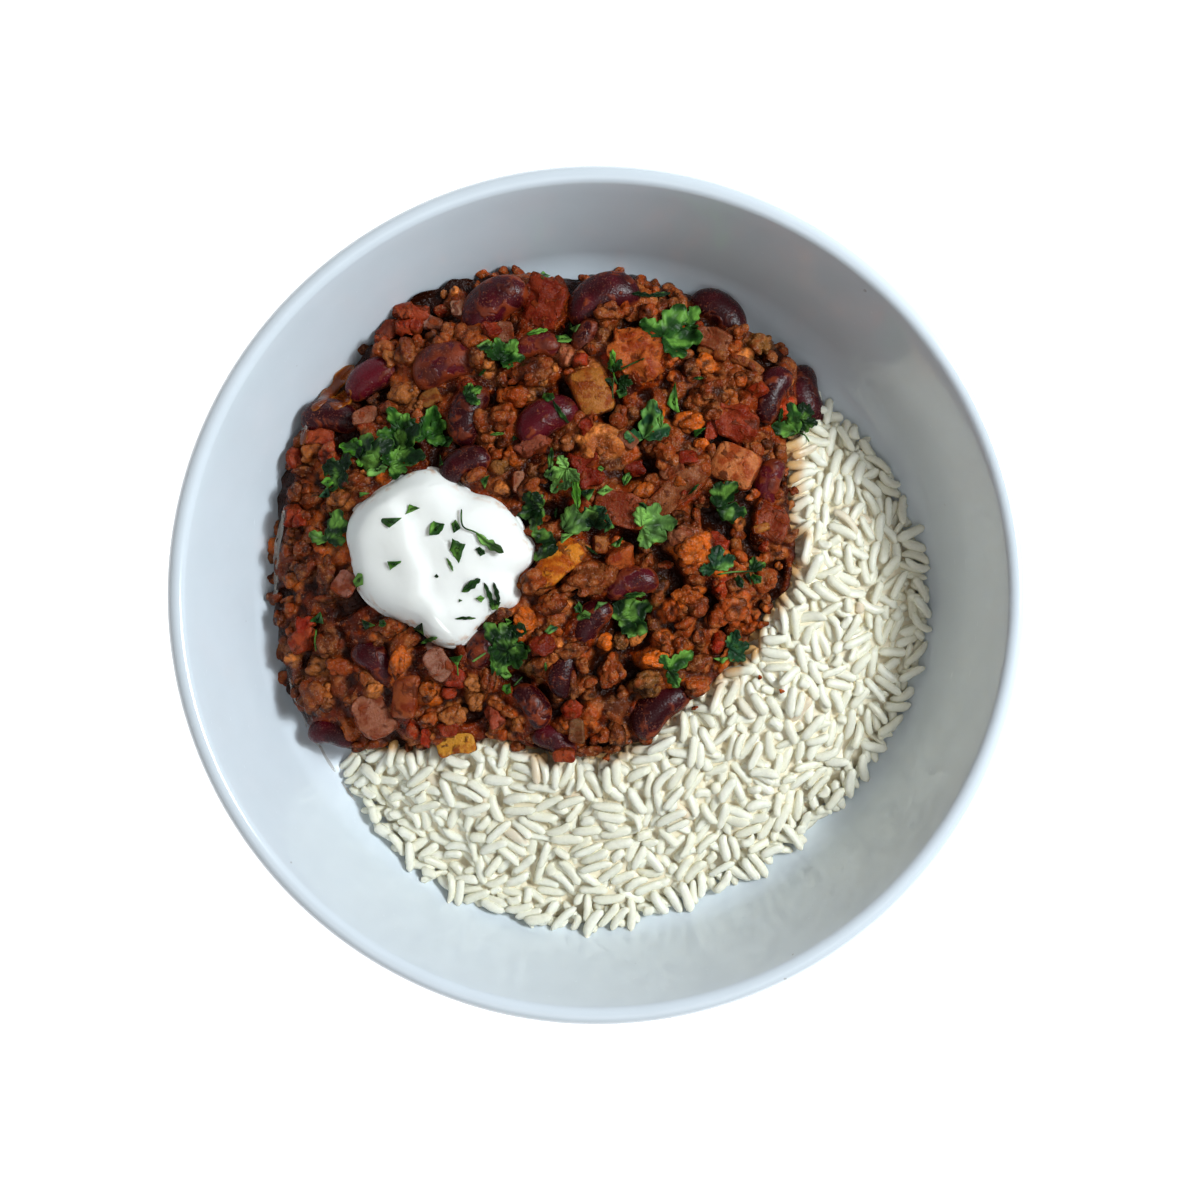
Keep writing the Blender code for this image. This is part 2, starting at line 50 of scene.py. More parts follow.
class Wire:
    # wraps a socket, so that shader maths can be written as an expression
    def __init__(self, tree, socket=None):
        self.tree = tree
        self.socket = socket

    def feed(self, target, value):
        if isinstance(value, Wire):
            self.tree.links.new(value.socket, target)
            return
        if target.type == "RGBA" and not isinstance(value, (int, float)):
            value = (*value[:3], 1)
        elif target.type in ("VECTOR", "RGBA") and isinstance(value, (int, float)):
            value = (value,) * (4 if target.type == "RGBA" else 3)
        target.default_value = value

    def node(self, kind, settings=None, inputs=None, output=0):
        made = self.tree.nodes.new(kind)
        for name, value in (settings or {}).items():
            setattr(made, name, value)
        for name, value in (inputs or {}).items():
            self.feed(made.inputs[name], value)
        return Wire(self.tree, made.outputs[output])

    def maths(self, operation, first, second):
        kinds = [value.socket.type for value in (first, second) if isinstance(value, Wire)]
        many = "RGBA" in kinds or "VECTOR" in kinds
        kind = "ShaderNodeVectorMath" if many else "ShaderNodeMath"
        return self.node(kind, {"operation": operation}, {0: first, 1: second})

    def __add__(self, other):
        return self.maths("ADD", self, other)

    def __sub__(self, other):
        return self.maths("SUBTRACT", self, other)

    def __mul__(self, other):
        return self.maths("MULTIPLY", self, other)

    def __truediv__(self, other):
        return self.maths("DIVIDE", self, other)

    def __pow__(self, other):
        return self.maths("POWER", self, other)

    def __rsub__(self, other):
        return self.maths("SUBTRACT", other, self)

    __radd__ = __add__
    __rmul__ = __mul__

    # the wires that most of the finishes here need

    def field(self, name, output=2):
        return self.node("ShaderNodeAttribute", {"attribute_name": name}, output=output)

    def noise(self, width, detail=2, roughness=0.5, vector=None, distortion=0):
        # grain about one width across, in millimetres
        spot = vector or self.node("ShaderNodeTexCoord", output=3)
        inputs = {"Vector": spot, "Scale": 1 / (width * mm), "Detail": detail}
        inputs.update({"Roughness": roughness, "Distortion": distortion})
        return self.node("ShaderNodeTexNoise", None, inputs)

    def between(self, low, high):
        # 0 below low, 1 above high, with a soft step
        return self.node(
            "ShaderNodeMapRange", {"interpolation_type": "SMOOTHSTEP"}, {0: self, 1: low, 2: high}
        )

    def mix(self, first, second, share=None, blend="MIX"):
        # the first colour where this wire, or the given share, is 0, and the second where it is 1
        settings = {"data_type": "RGBA", "blend_type": blend}
        share = self if share is None else share
        return self.node("ShaderNodeMix", settings, {0: share, 6: first, 7: second}, 2)

    def bump(self, height, depth, strength=1.0):
        # depth is the relief in millimetres that a height of 1 stands for
        inputs = {"Height": height, "Distance": depth * mm, "Strength": strength}
        return self.node("ShaderNodeBump", None, inputs)


def newFinish(name, **fixed):
    # a Principled material with its fixed values, its shader, and a Wire to build on
    made = bpy.data.materials.new(name)
    made.use_nodes = True
    shader = made.node_tree.nodes["Principled BSDF"]
    shader.subsurface_method = "BURLEY"  # how light scatters under the surface
    start = Wire(made.node_tree)
    plug(start, shader, **fixed)
    return made, shader, start


def darker(colour, share):
    return tuple(c * share for c in colour)


socketNames = {
    "colour": "Base Color",
    "roughness": "Roughness",
    "ior": "IOR",
    "specular": "Specular IOR Level",
    "subsurface": "Subsurface Weight",
    "subsurfaceRadius": "Subsurface Radius",
    "subsurfaceScale": "Subsurface Scale",
    "coat": "Coat Weight",
    "coatRoughness": "Coat Roughness",
    "coatIor": "Coat IOR",
    "emission": "Emission Strength",
    "emissionColour": "Emission Color",
    "alpha": "Alpha",
    "normal": "Normal",
}


def plug(start, shader, **wires):
    for socket, wire in wires.items():
        start.feed(shader.inputs[socketNames[socket]], wire)


def hashed(cell, seed):
    # a number from -1 to 1 for each lattice point
    number = cell[..., 0] * 73856093 ^ cell[..., 1] * 19349663 ^ cell[..., 2] * 83492791
    number = number ^ seed * 1597334677
    number = (number ^ number >> 13) * 1274126177 & 0xFFFFFFFF
    number = number ^ number >> 16
    return (number & 0xFFFF) / 32767.5 - 1


latticeTurn = np.array([[0.36, 0.48, -0.8], [-0.8, 0.6, 0.0], [0.48, 0.64, 0.6]])


def bumps(points, width, seed=0):
    # soft random bumps from -1 to 1, about one width apart
    place = np.asarray(points, float) @ latticeTurn / width + seed * 7.31
    cell = np.floor(place).astype(np.int64)
    t = place - cell
    t = t * t * t * (t * (t * 6 - 15) + 10)
    total = np.zeros(place.shape[:-1])
    for corner in np.ndindex(2, 2, 2):
        weight = np.prod(np.where(corner, t, 1 - t), axis=-1)
        total += weight * hashed(cell + np.array(corner), seed)
    return total


def flatBumps(x, y, width, seed=0):
    return bumps(np.stack([x, y, np.zeros_like(x)], -1), width, seed)


def softStep(t):
    t = np.clip(t, 0, 1)
    return t * t * (3 - 2 * t)


def onCurve(values, place, closed=False):
    # a smooth curve through evenly spaced values, which a closed one runs round again and again
    values = np.asarray(values, float)
    first = np.floor(place).astype(int)
    t = place - first
    steps = [first + step for step in (-1, 0, 1, 2)]
    if closed:
        a, b, c, d = (values[step % len(values)] for step in steps)
    else:
        a, b, c, d = (values[np.clip(step, 0, len(values) - 1)] for step in steps)
    return b + 0.5 * t * (c - a + t * (2 * a - 5 * b + 4 * c - d + t * (3 * (b - c) + d - a)))


def outlineRadius(centre, outline, x, y):
    # how far a closed outline lies from its centre, on the heading of each point
    turn = np.arctan2(y - centre[1], x - centre[0]) / math.tau
    return onCurve(outline, turn * len(outline), closed=True)


def ownAxes(x, y, centreX, centreY, heading):
    # distances along and across a piece that lies on the given heading
    a = math.radians(heading)
    s = (x - centreX) * math.cos(a) + (y - centreY) * math.sin(a)
    t = -(x - centreX) * math.sin(a) + (y - centreY) * math.cos(a)
    return s, t


def blurred(field, cells):
    # softened over so many cells of its grid
    if field.ndim == 3:
        return np.stack([blurred(field[..., k], cells) for k in range(field.shape[-1])], -1)
    reach = int(math.ceil(cells * 3))
    weights = np.exp(-0.5 * (np.arange(-reach, reach + 1) / cells) ** 2)
    weights /= weights.sum()
    for axis in (0, 1):
        pad = [(reach, reach) if axis == side else (0, 0) for side in (0, 1)]
        padded = np.pad(field, pad, mode="edge")
        size = field.shape[axis]
        field = sum(
            weight * np.take(padded, range(step, step + size), axis)
            for step, weight in enumerate(weights)
        )
    return field


def turnAbout(axis, degrees):
    # turns points about X, Y or Z, given as 0, 1 or 2
    a = math.radians(degrees)
    first, second = (axis + 1) % 3, (axis + 2) % 3
    turn = np.eye(3)
    turn[first, first] = turn[second, second] = math.cos(a)
    turn[first, second], turn[second, first] = -math.sin(a), math.sin(a)
    return turn


def headed(points, heading, tip=(0, 0)):
    # tips points about X and Y, then turns them to a heading
    return points @ (turnAbout(2, heading) @ turnAbout(1, tip[0]) @ turnAbout(0, tip[1])).T


def wander(points, width, seed):
    # a small random shift for each point, close ones alike
    return np.stack([bumps(points, width, seed + k) for k in range(3)], -1)


knownBalls = {}


def ballMesh(splits):
    # a ball of radius 1 made from the six sides of a cube, as points and triangles
    if splits in knownBalls:
        return knownBalls[splits]
    side = np.tan(np.linspace(-1, 1, splits + 1) * math.pi / 4)
    u, v = np.meshgrid(side, side, indexing="ij")
    flat = np.stack([u.ravel(), v.ravel(), np.ones(u.size)], 1)
    points, quads = [], []
    index = np.arange(u.size).reshape(u.shape)
    quad = np.stack([index[:-1, :-1], index[1:, :-1], index[1:, 1:], index[:-1, 1:]], -1).reshape(-1, 4)
    for axis in range(3):
        for sign in (1, -1):
            points.append(np.roll(flat * (sign, 1, sign), axis, axis=1))
            quads.append(quad + u.size * (len(points) - 1))
    points = np.concatenate(points)
    points /= np.linalg.norm(points, axis=1)[:, None]
    _, first, index = np.unique(points.round(5), axis=0, return_index=True, return_inverse=True)
    quads = index.reshape(-1)[np.concatenate(quads)]
    faces = np.concatenate([quads[:, [0, 1, 2]], quads[:, [0, 2, 3]]])
    knownBalls[splits] = points[first], faces
    return knownBalls[splits]


def gridFaces(rows, columns, wrap=False):
    # triangles between rows of points, with the last column joined to the first when wrapped
    index = np.arange(rows * columns).reshape(rows, columns)
    following = np.roll(index, -1, axis=1)
    a, b, c, d = index[:-1], following[:-1], following[1:], index[1:]
    if not wrap:
        a, b, c, d = (side[:, :-1] for side in (a, b, c, d))
    a, b, c, d = (side.ravel() for side in (a, b, c, d))
    return np.concatenate([np.stack([a, b, c], 1), np.stack([a, c, d], 1)])


def tubeFaces(rings, columns):
    # rings of points, closed by two further points: one at the start and one at the end
    last = rings * columns
    start = last - columns
    first = np.arange(columns)
    second = np.roll(first, -1)
    return np.concatenate([
        gridFaces(rings, columns, wrap=True),
        np.stack([np.full(columns, last), second, first], 1),
        np.stack([np.full(columns, last + 1), first + start, second + start], 1),
    ])


def copiedFaces(faces, count, size):
    # the faces of one shape, for so many copies of size points each
    return (faces[None] + (np.arange(count) * size)[:, None, None]).reshape(-1, 3)


def joined(parts):
    # several (points, faces, fields) as one, where a field may be a single number for its part
    points, faces, fields, start = [], [], {}, 0
    for part in parts:
        points.append(part[0])
        faces.append(part[1] + start)
        start += len(part[0])
        for name, value in part[2].items():
            value = np.asarray(value, float)
            shape = (len(part[0]), 3) if value.shape[-1:] == (3,) else (len(part[0]),)
            fields.setdefault(name, []).append(np.broadcast_to(value, shape))
    fields = {name: np.concatenate(values) for name, values in fields.items()}
    return np.concatenate(points), np.concatenate(faces), fields


def addPiece(name, part, finish, slot, *stoodFor):
    points, faces, fields = joined([part])
    mesh = bpy.data.meshes.new(name)
    mesh.vertices.add(len(points))
    mesh.vertices.foreach_set("co", (points * mm).ravel())
    mesh.loops.add(faces.size)
    mesh.loops.foreach_set("vertex_index", faces.ravel().astype(np.int32))
    mesh.polygons.add(len(faces))
    mesh.polygons.foreach_set("loop_start", np.arange(0, faces.size, 3, dtype=np.int32))
    mesh.update(calc_edges=True)
    mesh.validate()
    for field, values in fields.items():
        kind = "FLOAT_VECTOR" if values.ndim == 2 else "FLOAT"
        mesh.attributes.new(field, kind, "POINT").data.foreach_set(
            "vector" if values.ndim == 2 else "value", values.astype(np.float32).ravel()
        )
    mesh.shade_smooth()
    mesh.materials.append(finish)
    made = bpy.data.objects.new(name, mesh)
    bpy.context.scene.collection.objects.link(made)
    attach(made, "root")
    if stoodFor:
        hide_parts(*stoodFor)
    print(f"{name}: {len(faces)} triangles")
    return made


def outwards(part):
    # turns a closed part's faces round if they point inwards
    points, faces, fields = part
    a, b, c = (points[faces[:, i]] for i in range(3))
    if np.einsum("ij,ij->", a, np.cross(b, c)) < 0:
        faces = faces[:, ::-1]
    return points, faces, fields


def setDown(points, faces, centre, heading, fields, tip=(0, 0)):
    return outwards((headed(points, heading, tip) + centre, faces, fields))


bowl = {
    "radius": 110,
    "height": 52,
    "rimThickness": 5,
    "floorLevel": 9.5,
    "floorCorner": 90.3,  # where the wall's line would meet the floor
    "cornerRounding": 16,
    "wallSlope": math.radians(70),
    "wallThickness": 4.6,
    "footOuter": 66,
    "footWidth": 6,
    "footHeight": 3.6,
    "footRounding": 1,
    "bellyRounding": 19,
    "bellyLift": 1.2,  # how far the wall's underside starts above the foot's recess
    "sectors": 210,
    "glazeColour": (0.77, 0.85, 0.925),
    "glazeRoughness": 0.16,
}


def bowlInside(radius):
    # level of the bowl's inner surface
    b = bowl
    arcX = b["floorCorner"] - b["cornerRounding"] * math.tan(b["wallSlope"] / 2)
    arcZ = b["floorLevel"] + b["cornerRounding"]
    arcEnd = arcX + b["cornerRounding"] * math.sin(b["wallSlope"])
    inArc = np.clip(radius - arcX, 0, b["cornerRounding"] * math.sin(b["wallSlope"]))
    level = arcZ - np.sqrt(b["cornerRounding"] ** 2 - inArc**2)
    return level + np.maximum(radius - arcEnd, 0) * math.tan(b["wallSlope"])


def arcPoints(x, z, radius, start, end, steps):
    angles = np.linspace(start, end, steps + 1)
    return [(x + radius * math.cos(a), z + radius * math.sin(a)) for a in angles]


def addStraight(points, end):
    # the points between the last one and the end of a straight wall
    start = points[-1]
    for share in np.linspace(0, 1, 8)[1:-1]:
        points.append(tuple(np.add(np.multiply(start, 1 - share), np.multiply(end, share))))


def bowlProfile():
    # half a section: from the middle of the floor, over the rim, to the middle underneath
    b = bowl
    slope, level, foot = b["wallSlope"], b["footHeight"], b["footOuter"]
    corner, belly, small = b["cornerRounding"], b["bellyRounding"], b["footRounding"]
    square = math.pi / 2
    cornerX = b["floorCorner"] - corner * math.tan(slope / 2)
    rim = b["rimThickness"] / 2
    rimX, rimZ = b["radius"] - rim, b["height"] - rim
    beltZ = level + b["bellyLift"] + belly
    wallX = b["floorCorner"] + (beltZ - b["floorLevel"]) / math.tan(slope)
    wallX += b["wallThickness"] / math.sin(slope)
    inner = foot - b["footWidth"]
    points = [(radius, b["floorLevel"]) for radius in np.linspace(0, cornerX, 12)[:-1]]
    points += arcPoints(cornerX, b["floorLevel"] + corner, corner, -square, slope - square, 14)
    addStraight(points, (rimX + rim * math.cos(slope + square), rimZ + rim * math.sin(slope + square)))
    points += arcPoints(rimX, rimZ, rim, slope + square, -math.pi / 9, 14)
    under = arcPoints(wallX - belly / math.sin(slope), beltZ, belly, slope - square, -square, 12)
    addStraight(points, under[0])
    points += under
    points += [(foot + small * 1.6, level + 0.6), (foot + small * 0.6, level - 0.4)]
    points += arcPoints(foot - small, small, small, 0, -square, 4)
    points += arcPoints(inner + small, small, small, -square, -math.pi, 4)
    points += [(inner - small * 0.4, level - 0.6), (inner - small * 1.8, level)]
    points += [(radius, level) for radius in np.linspace(inner - 8, 0, 6)]
    return np.array(points)


def makeBowl():
    profile = bowlProfile()
    ring = profile[1:-1]
    sectors = bowl["sectors"]
    angles = np.arange(sectors) * math.tau / sectors
    x = ring[:, 0, None] * np.cos(angles)
    y = ring[:, 0, None] * np.sin(angles)
    z = np.broadcast_to(ring[:, 1, None], x.shape)
    points = np.stack([x, y, z], -1).reshape(-1, 3)
    # a thrown bowl is never quite even: a breath of unevenness in wall and rim
    points[:, :2] *= 1 + 0.0004 * bumps(points, 60, 4)[:, None]
    points = np.concatenate([points, [[0, 0, profile[0][1]], [0, 0, profile[-1][1]]]])
    part = outwards((points, tubeFaces(len(ring), sectors), {}))
    addPiece("glazedBowl", part, glazeFinish(), "bowl", "bowl")


def glazeFinish():
    made, shader, start = newFinish("bowlGlaze", ior=1.5, coat=0.6, coatRoughness=0.04, coatIor=1.5)
    # the glaze is a little deeper in places, has a few iron specks and very fine scuffs
    cloud = start.noise(70, 2)
    pooled = start.noise(9, 3)
    colour = (cloud * 0.6 + pooled * 0.4).between(0.35, 0.65)
    colour = colour.mix(bowl["glazeColour"], darker(bowl["glazeColour"], 0.965))
    specks = start.noise(2.6, 1).between(0.80, 0.83) * start.noise(18, 1).between(0.52, 0.62)
    colour = (specks * 0.55).mix(colour, (0.28, 0.26, 0.25))
    spot = start.node("ShaderNodeTexCoord", output=3)
    stretched = start.node("ShaderNodeMapping", None, {0: spot, 3: (1, 0.06, 1)})
    scuffs = start.noise(0.8, 2, vector=stretched).between(0.68, 0.76)
    orangePeel = start.noise(6, 2) * 0.7 + start.noise(1.6, 1) * 0.12
    plug(
        start,
        shader,
        colour=colour,
        roughness=bowl["glazeRoughness"] + scuffs * 0.10 + pooled * 0.04,
        normal=start.bump(orangePeel, 0.05, 0.5),
    )
    return made


makeBowl()


heap = {
    "chiliCentre": (-14, 22),
    # how far the chili reaches from its centre, each 15 degrees from +X
    "chiliOutline": [
        67, 69, 80, 75, 72, 69, 65, 68, 68, 67, 68, 71,
        74, 78, 84, 87, 74, 63, 65, 68, 64, 65, 65, 69,
    ],
    "chiliCrest": 34,
    "chiliEdgeDepth": 4.5,
    "chiliFlatness": 4,
    "chiliSteepness": 0.6,
    "riceHeadings": (-146, 40),
    # the rice's outer edge, evenly spaced between those headings
    "riceOutline": [84, 89, 91, 92, 91, 88.5, 88, 87.5, 89, 90.5, 91, 89.5, 87.5, 83],
    "riceDepth": 13,
    "riceEdgeDepth": 2.6,
    "riceToe": 9,
    "riceShoulder": 5,
    "riceSlope": 42,
    "riceSteepness": 0.6,
    "riceEndFade": 12,
    "riceLumps": 1.1,
}


def chiliRadius(x, y):
    return outlineRadius(heap["chiliCentre"], heap["chiliOutline"], x, y)


def fromChili(x, y):
    return np.hypot(x - heap["chiliCentre"][0], y - heap["chiliCentre"][1])


def pastChili(x, y):
    # how far outside the chili a point is, and negative under it
    return fromChili(x, y) - chiliRadius(x, y)


def headingOf(x, y):
    return np.degrees(np.arctan2(y, x))


def riceEdge(x, y):
    start, end = heap["riceHeadings"]
    share = (headingOf(x, y) - start) / (end - start)
    return onCurve(heap["riceOutline"], share * (len(heap["riceOutline"]) - 1))


def riceTop(x, y):
    radius = np.hypot(x, y)
    rise = softStep((pastChili(x, y) + heap["riceToe"]) / (heap["riceToe"] + heap["riceShoulder"]))
    fall = softStep((riceEdge(x, y) - radius) / heap["riceSlope"]) ** heap["riceSteepness"]
    depth = heap["riceEdgeDepth"] + (heap["riceDepth"] - heap["riceEdgeDepth"]) * rise * fall
    return bowlInside(radius) + depth + heap["riceLumps"] * rise * flatBumps(x, y, 11, 7)


def chiliTop(x, y):
    reach = fromChili(x, y) / chiliRadius(x, y)
    start, end = heap["riceHeadings"]
    heading = headingOf(x, y)
    overRice = softStep((heading - start) / heap["riceEndFade"])
    overRice = overRice * softStep((end - heading) / heap["riceEndFade"])
    ground = bowlInside(np.hypot(x, y))
    ground = ground + (riceTop(x, y) - ground) * overRice
    dome = (1 - np.minimum(reach, 1) ** heap["chiliFlatness"]) ** heap["chiliSteepness"]
    level = ground + heap["chiliEdgeDepth"]
    return level + (heap["chiliCrest"] - level) * dome


def centreOf(node):
    low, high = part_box(node)
    return np.array([(a + b) / 2 / mm for a, b in zip(low, high)])


def under(points, faces, border, drop, inset):
    # closes a sheet: its border goes down and in, then across underneath
    middle = points[border].mean(axis=0)
    rows = [border]
    for share in (0.5, 1.0):
        edge = points[border]
        ring = edge + (middle - edge) * (inset * share, inset * share, 0)
        ring[:, 2] = edge[:, 2] + (drop(ring[:, 0], ring[:, 1]) - edge[:, 2]) * share
        rows.append(np.arange(len(border)) + len(points))
        points = np.concatenate([points, ring])
    centre = len(points)
    points = np.concatenate([points, [[middle[0], middle[1], points[rows[-1]][:, 2].min()]]])
    more = []
    for first, second in zip(rows[:-1], rows[1:]):
        nextFirst, nextSecond = np.roll(first, -1), np.roll(second, -1)
        more.append(np.stack([first, second, nextSecond], 1))
        more.append(np.stack([first, nextSecond, nextFirst], 1))
    last = rows[-1]
    more.append(np.stack([last, np.full_like(last, centre), np.roll(last, -1)], 1))
    return points, np.concatenate([faces, *more])


def borderOf(rows, columns):
    index = np.arange(rows * columns).reshape(rows, columns)
    return np.concatenate([index[0, :-1], index[:-1, -1], index[-1, :0:-1], index[:0:-1, 0]])


class Levels:
    # how high the food stands, on a square grid over the bowl
    reach = 100

    def __init__(self, level, pitch=0.5):
        self.pitch = pitch
        steps = np.arange(-self.reach, self.reach + self.pitch, self.pitch)
        self.x, self.y = np.meshgrid(steps, steps, indexing="ij")
        self.top = level(self.x, self.y)

    def at(self, x, y, field=None):
        field = self.top if field is None else field
        i = np.clip((x + self.reach) / self.pitch, 0, len(field) - 1.001)
        j = np.clip((y + self.reach) / self.pitch, 0, len(field) - 1.001)
        row, column = np.floor(i).astype(int), np.floor(j).astype(int)
        s, t = i - row, j - column
        near = field[row, column] * (1 - t) + field[row, column + 1] * t
        far = field[row + 1, column] * (1 - t) + field[row + 1, column + 1] * t
        return near * (1 - s) + far * s

    def spot(self, x, y, field):
        # the level at one place, as a plain number
        return float(self.at(np.array(float(x)), np.array(float(y)), field))

    def nearest(self, place):
        cell = ((place + self.reach) / self.pitch).round().astype(int)
        return np.clip(cell, 0, len(self.top) - 1)

    def window(self, x, y, reach, spare):
        # the part of the grid within reach of a place, with some spare cells round it
        size = int(reach / self.pitch) + spare
        i, j = (int(round((place + self.reach) / self.pitch)) for place in (x, y))
        return slice(max(i - size, 0), i + size + 1), slice(max(j - size, 0), j + size + 1)

    def lay(self, part):
        # raises the levels to the top of a part, by its points and spots between them
        points, faces, _ = part
        a, b, c = (points[faces[:, i]] for i in range(3))
        for spot in (points, (a + b) / 2, (b + c) / 2, (c + a) / 2, (a + b + c) / 3):
            np.maximum.at(self.top, (self.nearest(spot[:, 0]), self.nearest(spot[:, 1])), spot[:, 2])


def aboveBowl(height):
    # a level that stands so far above the bowl's inner surface
    return lambda x, y: bowlInside(np.hypot(x, y)) + height


rice = {
    "grains": 1540,  # at most: fewer find a place
    "tries": 2.6,  # for each grain
    "looseFrom": 1.7,  # the share of tries after which grains lie loosely over the others
    "choices": 40,  # spots that a grain picks the lowest of
    "looseChoices": 5,
    "highest": 1.3,  # how far over the rice's surface a grain may come to rest
    "looseHighest": 2.0,
    "length": (6.9, 9.2),
    "width": (2.2, 2.8),
    "plumpness": 1.10,  # soft grains press into their neighbours
    "broken": 0.09,  # share of short grains
    "bundled": 0.45,  # share that lie against the grain before them
    "bluntness": 6,
    "squash": 0.28,  # cooked grains sink into each other a little
    "sides": 8,
    "rings": 7,
    "fillBlur": 2.2,
    "fillSunk": 1.0,
    "coreSunk": 3.0,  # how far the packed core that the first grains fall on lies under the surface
    "coreGrid": (230, 46),
    "steepest": 0.45,
    "seed": 11,
    "cooked": (0.835, 0.825, 0.705),
    # the next two colours are painted shade, for deep grains and for the gaps between grains
    "paintedWarmShade": (0.90, 0.865, 0.70),
    "stained": (0.62, 0.30, 0.085),
    "between": (0.78, 0.70, 0.51),
}


def makeRiceCore(levels):
    # packed rice that fills the gaps a little below the grains that show
    rows, columns = rice["coreGrid"]
    start, end = heap["riceHeadings"]
    heading = np.radians(np.linspace(start + 2, end - 2, rows))[:, None]
    # the inner edge runs under the chili
    outline = heap["riceOutline"]
    outer = onCurve(outline, np.linspace(0, len(outline) - 1, rows))[:, None] - 2.5
    inner = np.zeros((rows, 1))
    radii = np.linspace(0, 92, 400)
    for i, angle in enumerate(heading[:, 0]):
        inside = pastChili(radii * math.cos(angle), radii * math.sin(angle)) > -heap["riceToe"]
        inner[i] = min(radii[inside][0], outer[i, 0] - 3)
    share = np.linspace(0, 1, columns)[None, :]
    radius = inner + (outer - inner) * share
    x, y = radius * np.cos(heading), radius * np.sin(heading)
    floor = bowlInside(radius) + 0.3
    filled = levels.at(x, y, blurred(levels.top, rice["fillBlur"])) - rice["fillSunk"]
    filled = filled + 0.45 * flatBumps(x, y, 2.2, 3) - 2.2 * softStep((radius - outer + 4) / 4)
    level = np.maximum(np.minimum(filled, levels.at(x, y) + 0.6), floor + 0.2)
    points = np.stack([x, y, level], -1).reshape(-1, 3)
    points, faces = under(points, gridFaces(rows, columns), borderOf(rows, columns), aboveBowl(0.2), 0)
    # the core is painted with the shade of the gaps between grains, by its shade of 0.8
    return outwards((points, faces, {"stain": 0.25, "shade": 0.8, "tone": 0.5}))


def fullnessAt(share):
    # how full a grain is along its length, from -1 to 1
    return (1 - np.abs(share) ** rice["bluntness"]) ** 0.5


def grainShape(rings, sides):
    # one grain along X with half length and half width 1, as points and triangles
    share = -np.cos(np.linspace(0.24, math.pi - 0.24, rings))
    share = share / share[-1] * 0.985
    fullness = fullnessAt(share)
    angle = np.arange(sides) * math.tau / sides
    x = np.repeat(share, sides)
    y = (fullness[:, None] * np.cos(angle)).ravel()
    z = (fullness[:, None] * np.sin(angle)).ravel()
    points = np.concatenate([np.stack([x, y, z], 1), [[-1, 0, 0], [1, 0, 0]]])
    return points, tubeFaces(rings, sides)


def riceBed(x, y):
    # what the first grains fall on: the bowl, and a packed core under the rice
    start, end = heap["riceHeadings"]
    within = (pastChili(x, y) > -heap["riceToe"]) & (headingOf(x, y) > start) & (headingOf(x, y) < end)
    return np.maximum(bowlInside(np.hypot(x, y)), np.where(within, riceTop(x, y) - rice["coreSunk"], 0))


def grainSpots(chance, count, last):
    # spots and headings that one grain may pick from, and which of them lie on the rice
    start, end = heap["riceHeadings"]
    heading = chance.uniform(start - 3, end + 3, count)
    radius = np.sqrt(chance.uniform(18**2, 93**2, count))
    x = radius * np.cos(np.radians(heading))
    y = radius * np.sin(np.radians(heading))
    turn = chance.uniform(0, 180, count)
    if last is not None and chance.random() < rice["bundled"]:
        # side by side with the grain before, on one side or the other
        side = np.radians(last[2] + 90)
        step = chance.uniform(2.0, 2.7, 4) * chance.choice([-1, 1], 4)
        x[:4] = last[0] + step * math.cos(side) + chance.normal(0, 1.2, 4)
        y[:4] = last[1] + step * math.sin(side) + chance.normal(0, 1.2, 4)
        turn[:4] = last[2] + chance.normal(0, 9, 4)
    radius = np.hypot(x, y)
    good = (pastChili(x, y) > -7) & (radius < riceEdge(x, y) - 1.4)
    good &= (headingOf(x, y) > start - 1) & (headingOf(x, y) < end + 1)
    return x[good], y[good], turn[good]


def restOn(levels, x, y, along, across, length, width):
    # the level and slope at which a grain lies still on each spot
    ends = np.linspace(-0.92, 0.92, 7)
    fullness = fullnessAt(ends)
    sideways = np.array([-0.8, 0, 0.8])
    spotX, spotY = (
        place[:, None, None]
        + along[:, axis, None, None] * (ends * length)[:, None]
        + across[:, axis, None, None] * fullness[:, None] * sideways * width
        for axis, place in enumerate((x, y))
    )
    sunk = fullness[:, None] * width * np.sqrt(1 - sideways**2) * rice["squash"]
    need = (levels.at(spotX, spotY) + sunk).max(axis=2)
    low, high = ends[:4] * length - 1e-6, ends[3:] * length + 1e-6
    gap = high - low[:, None]
    # it rests on the pair of touching spots, one on each half, that carries its middle highest
    meet = (need[:, :4, None] * high - need[:, None, 3:] * low[:, None]) / gap
    slope = (need[:, None, 3:] - need[:, :4, None]) / gap
    best = meet.reshape(len(x), -1).argmax(axis=1)
    slope = slope.reshape(len(x), -1)[np.arange(len(x)), best]
    slope = np.clip(slope, -rice["steepest"], rice["steepest"])
    return (need - slope[:, None] * ends * length).max(axis=1), slope


def raiseLevels(levels, grain, along, across):
    # the heap is higher by the grain that has come to rest
    x, y, _, rest, slope, length, width = grain
    window = levels.window(x, y, length, 2)
    dx, dy = levels.x[window] - x, levels.y[window] - y
    s = (dx * along[0] + dy * along[1]) / length
    t = (dx * across[0] + dy * across[1]) / width
    full = np.sqrt(np.maximum(1 - np.abs(np.clip(s, -1, 1)) ** rice["bluntness"], 0)) * (np.abs(s) < 1)
    hump = rest + slope * s * length + width * np.sqrt(np.maximum(full**2 - t**2, 0))
    top = levels.top[window]
    levels.top[window] = np.where(np.abs(t) < full, np.maximum(top, hump), top)


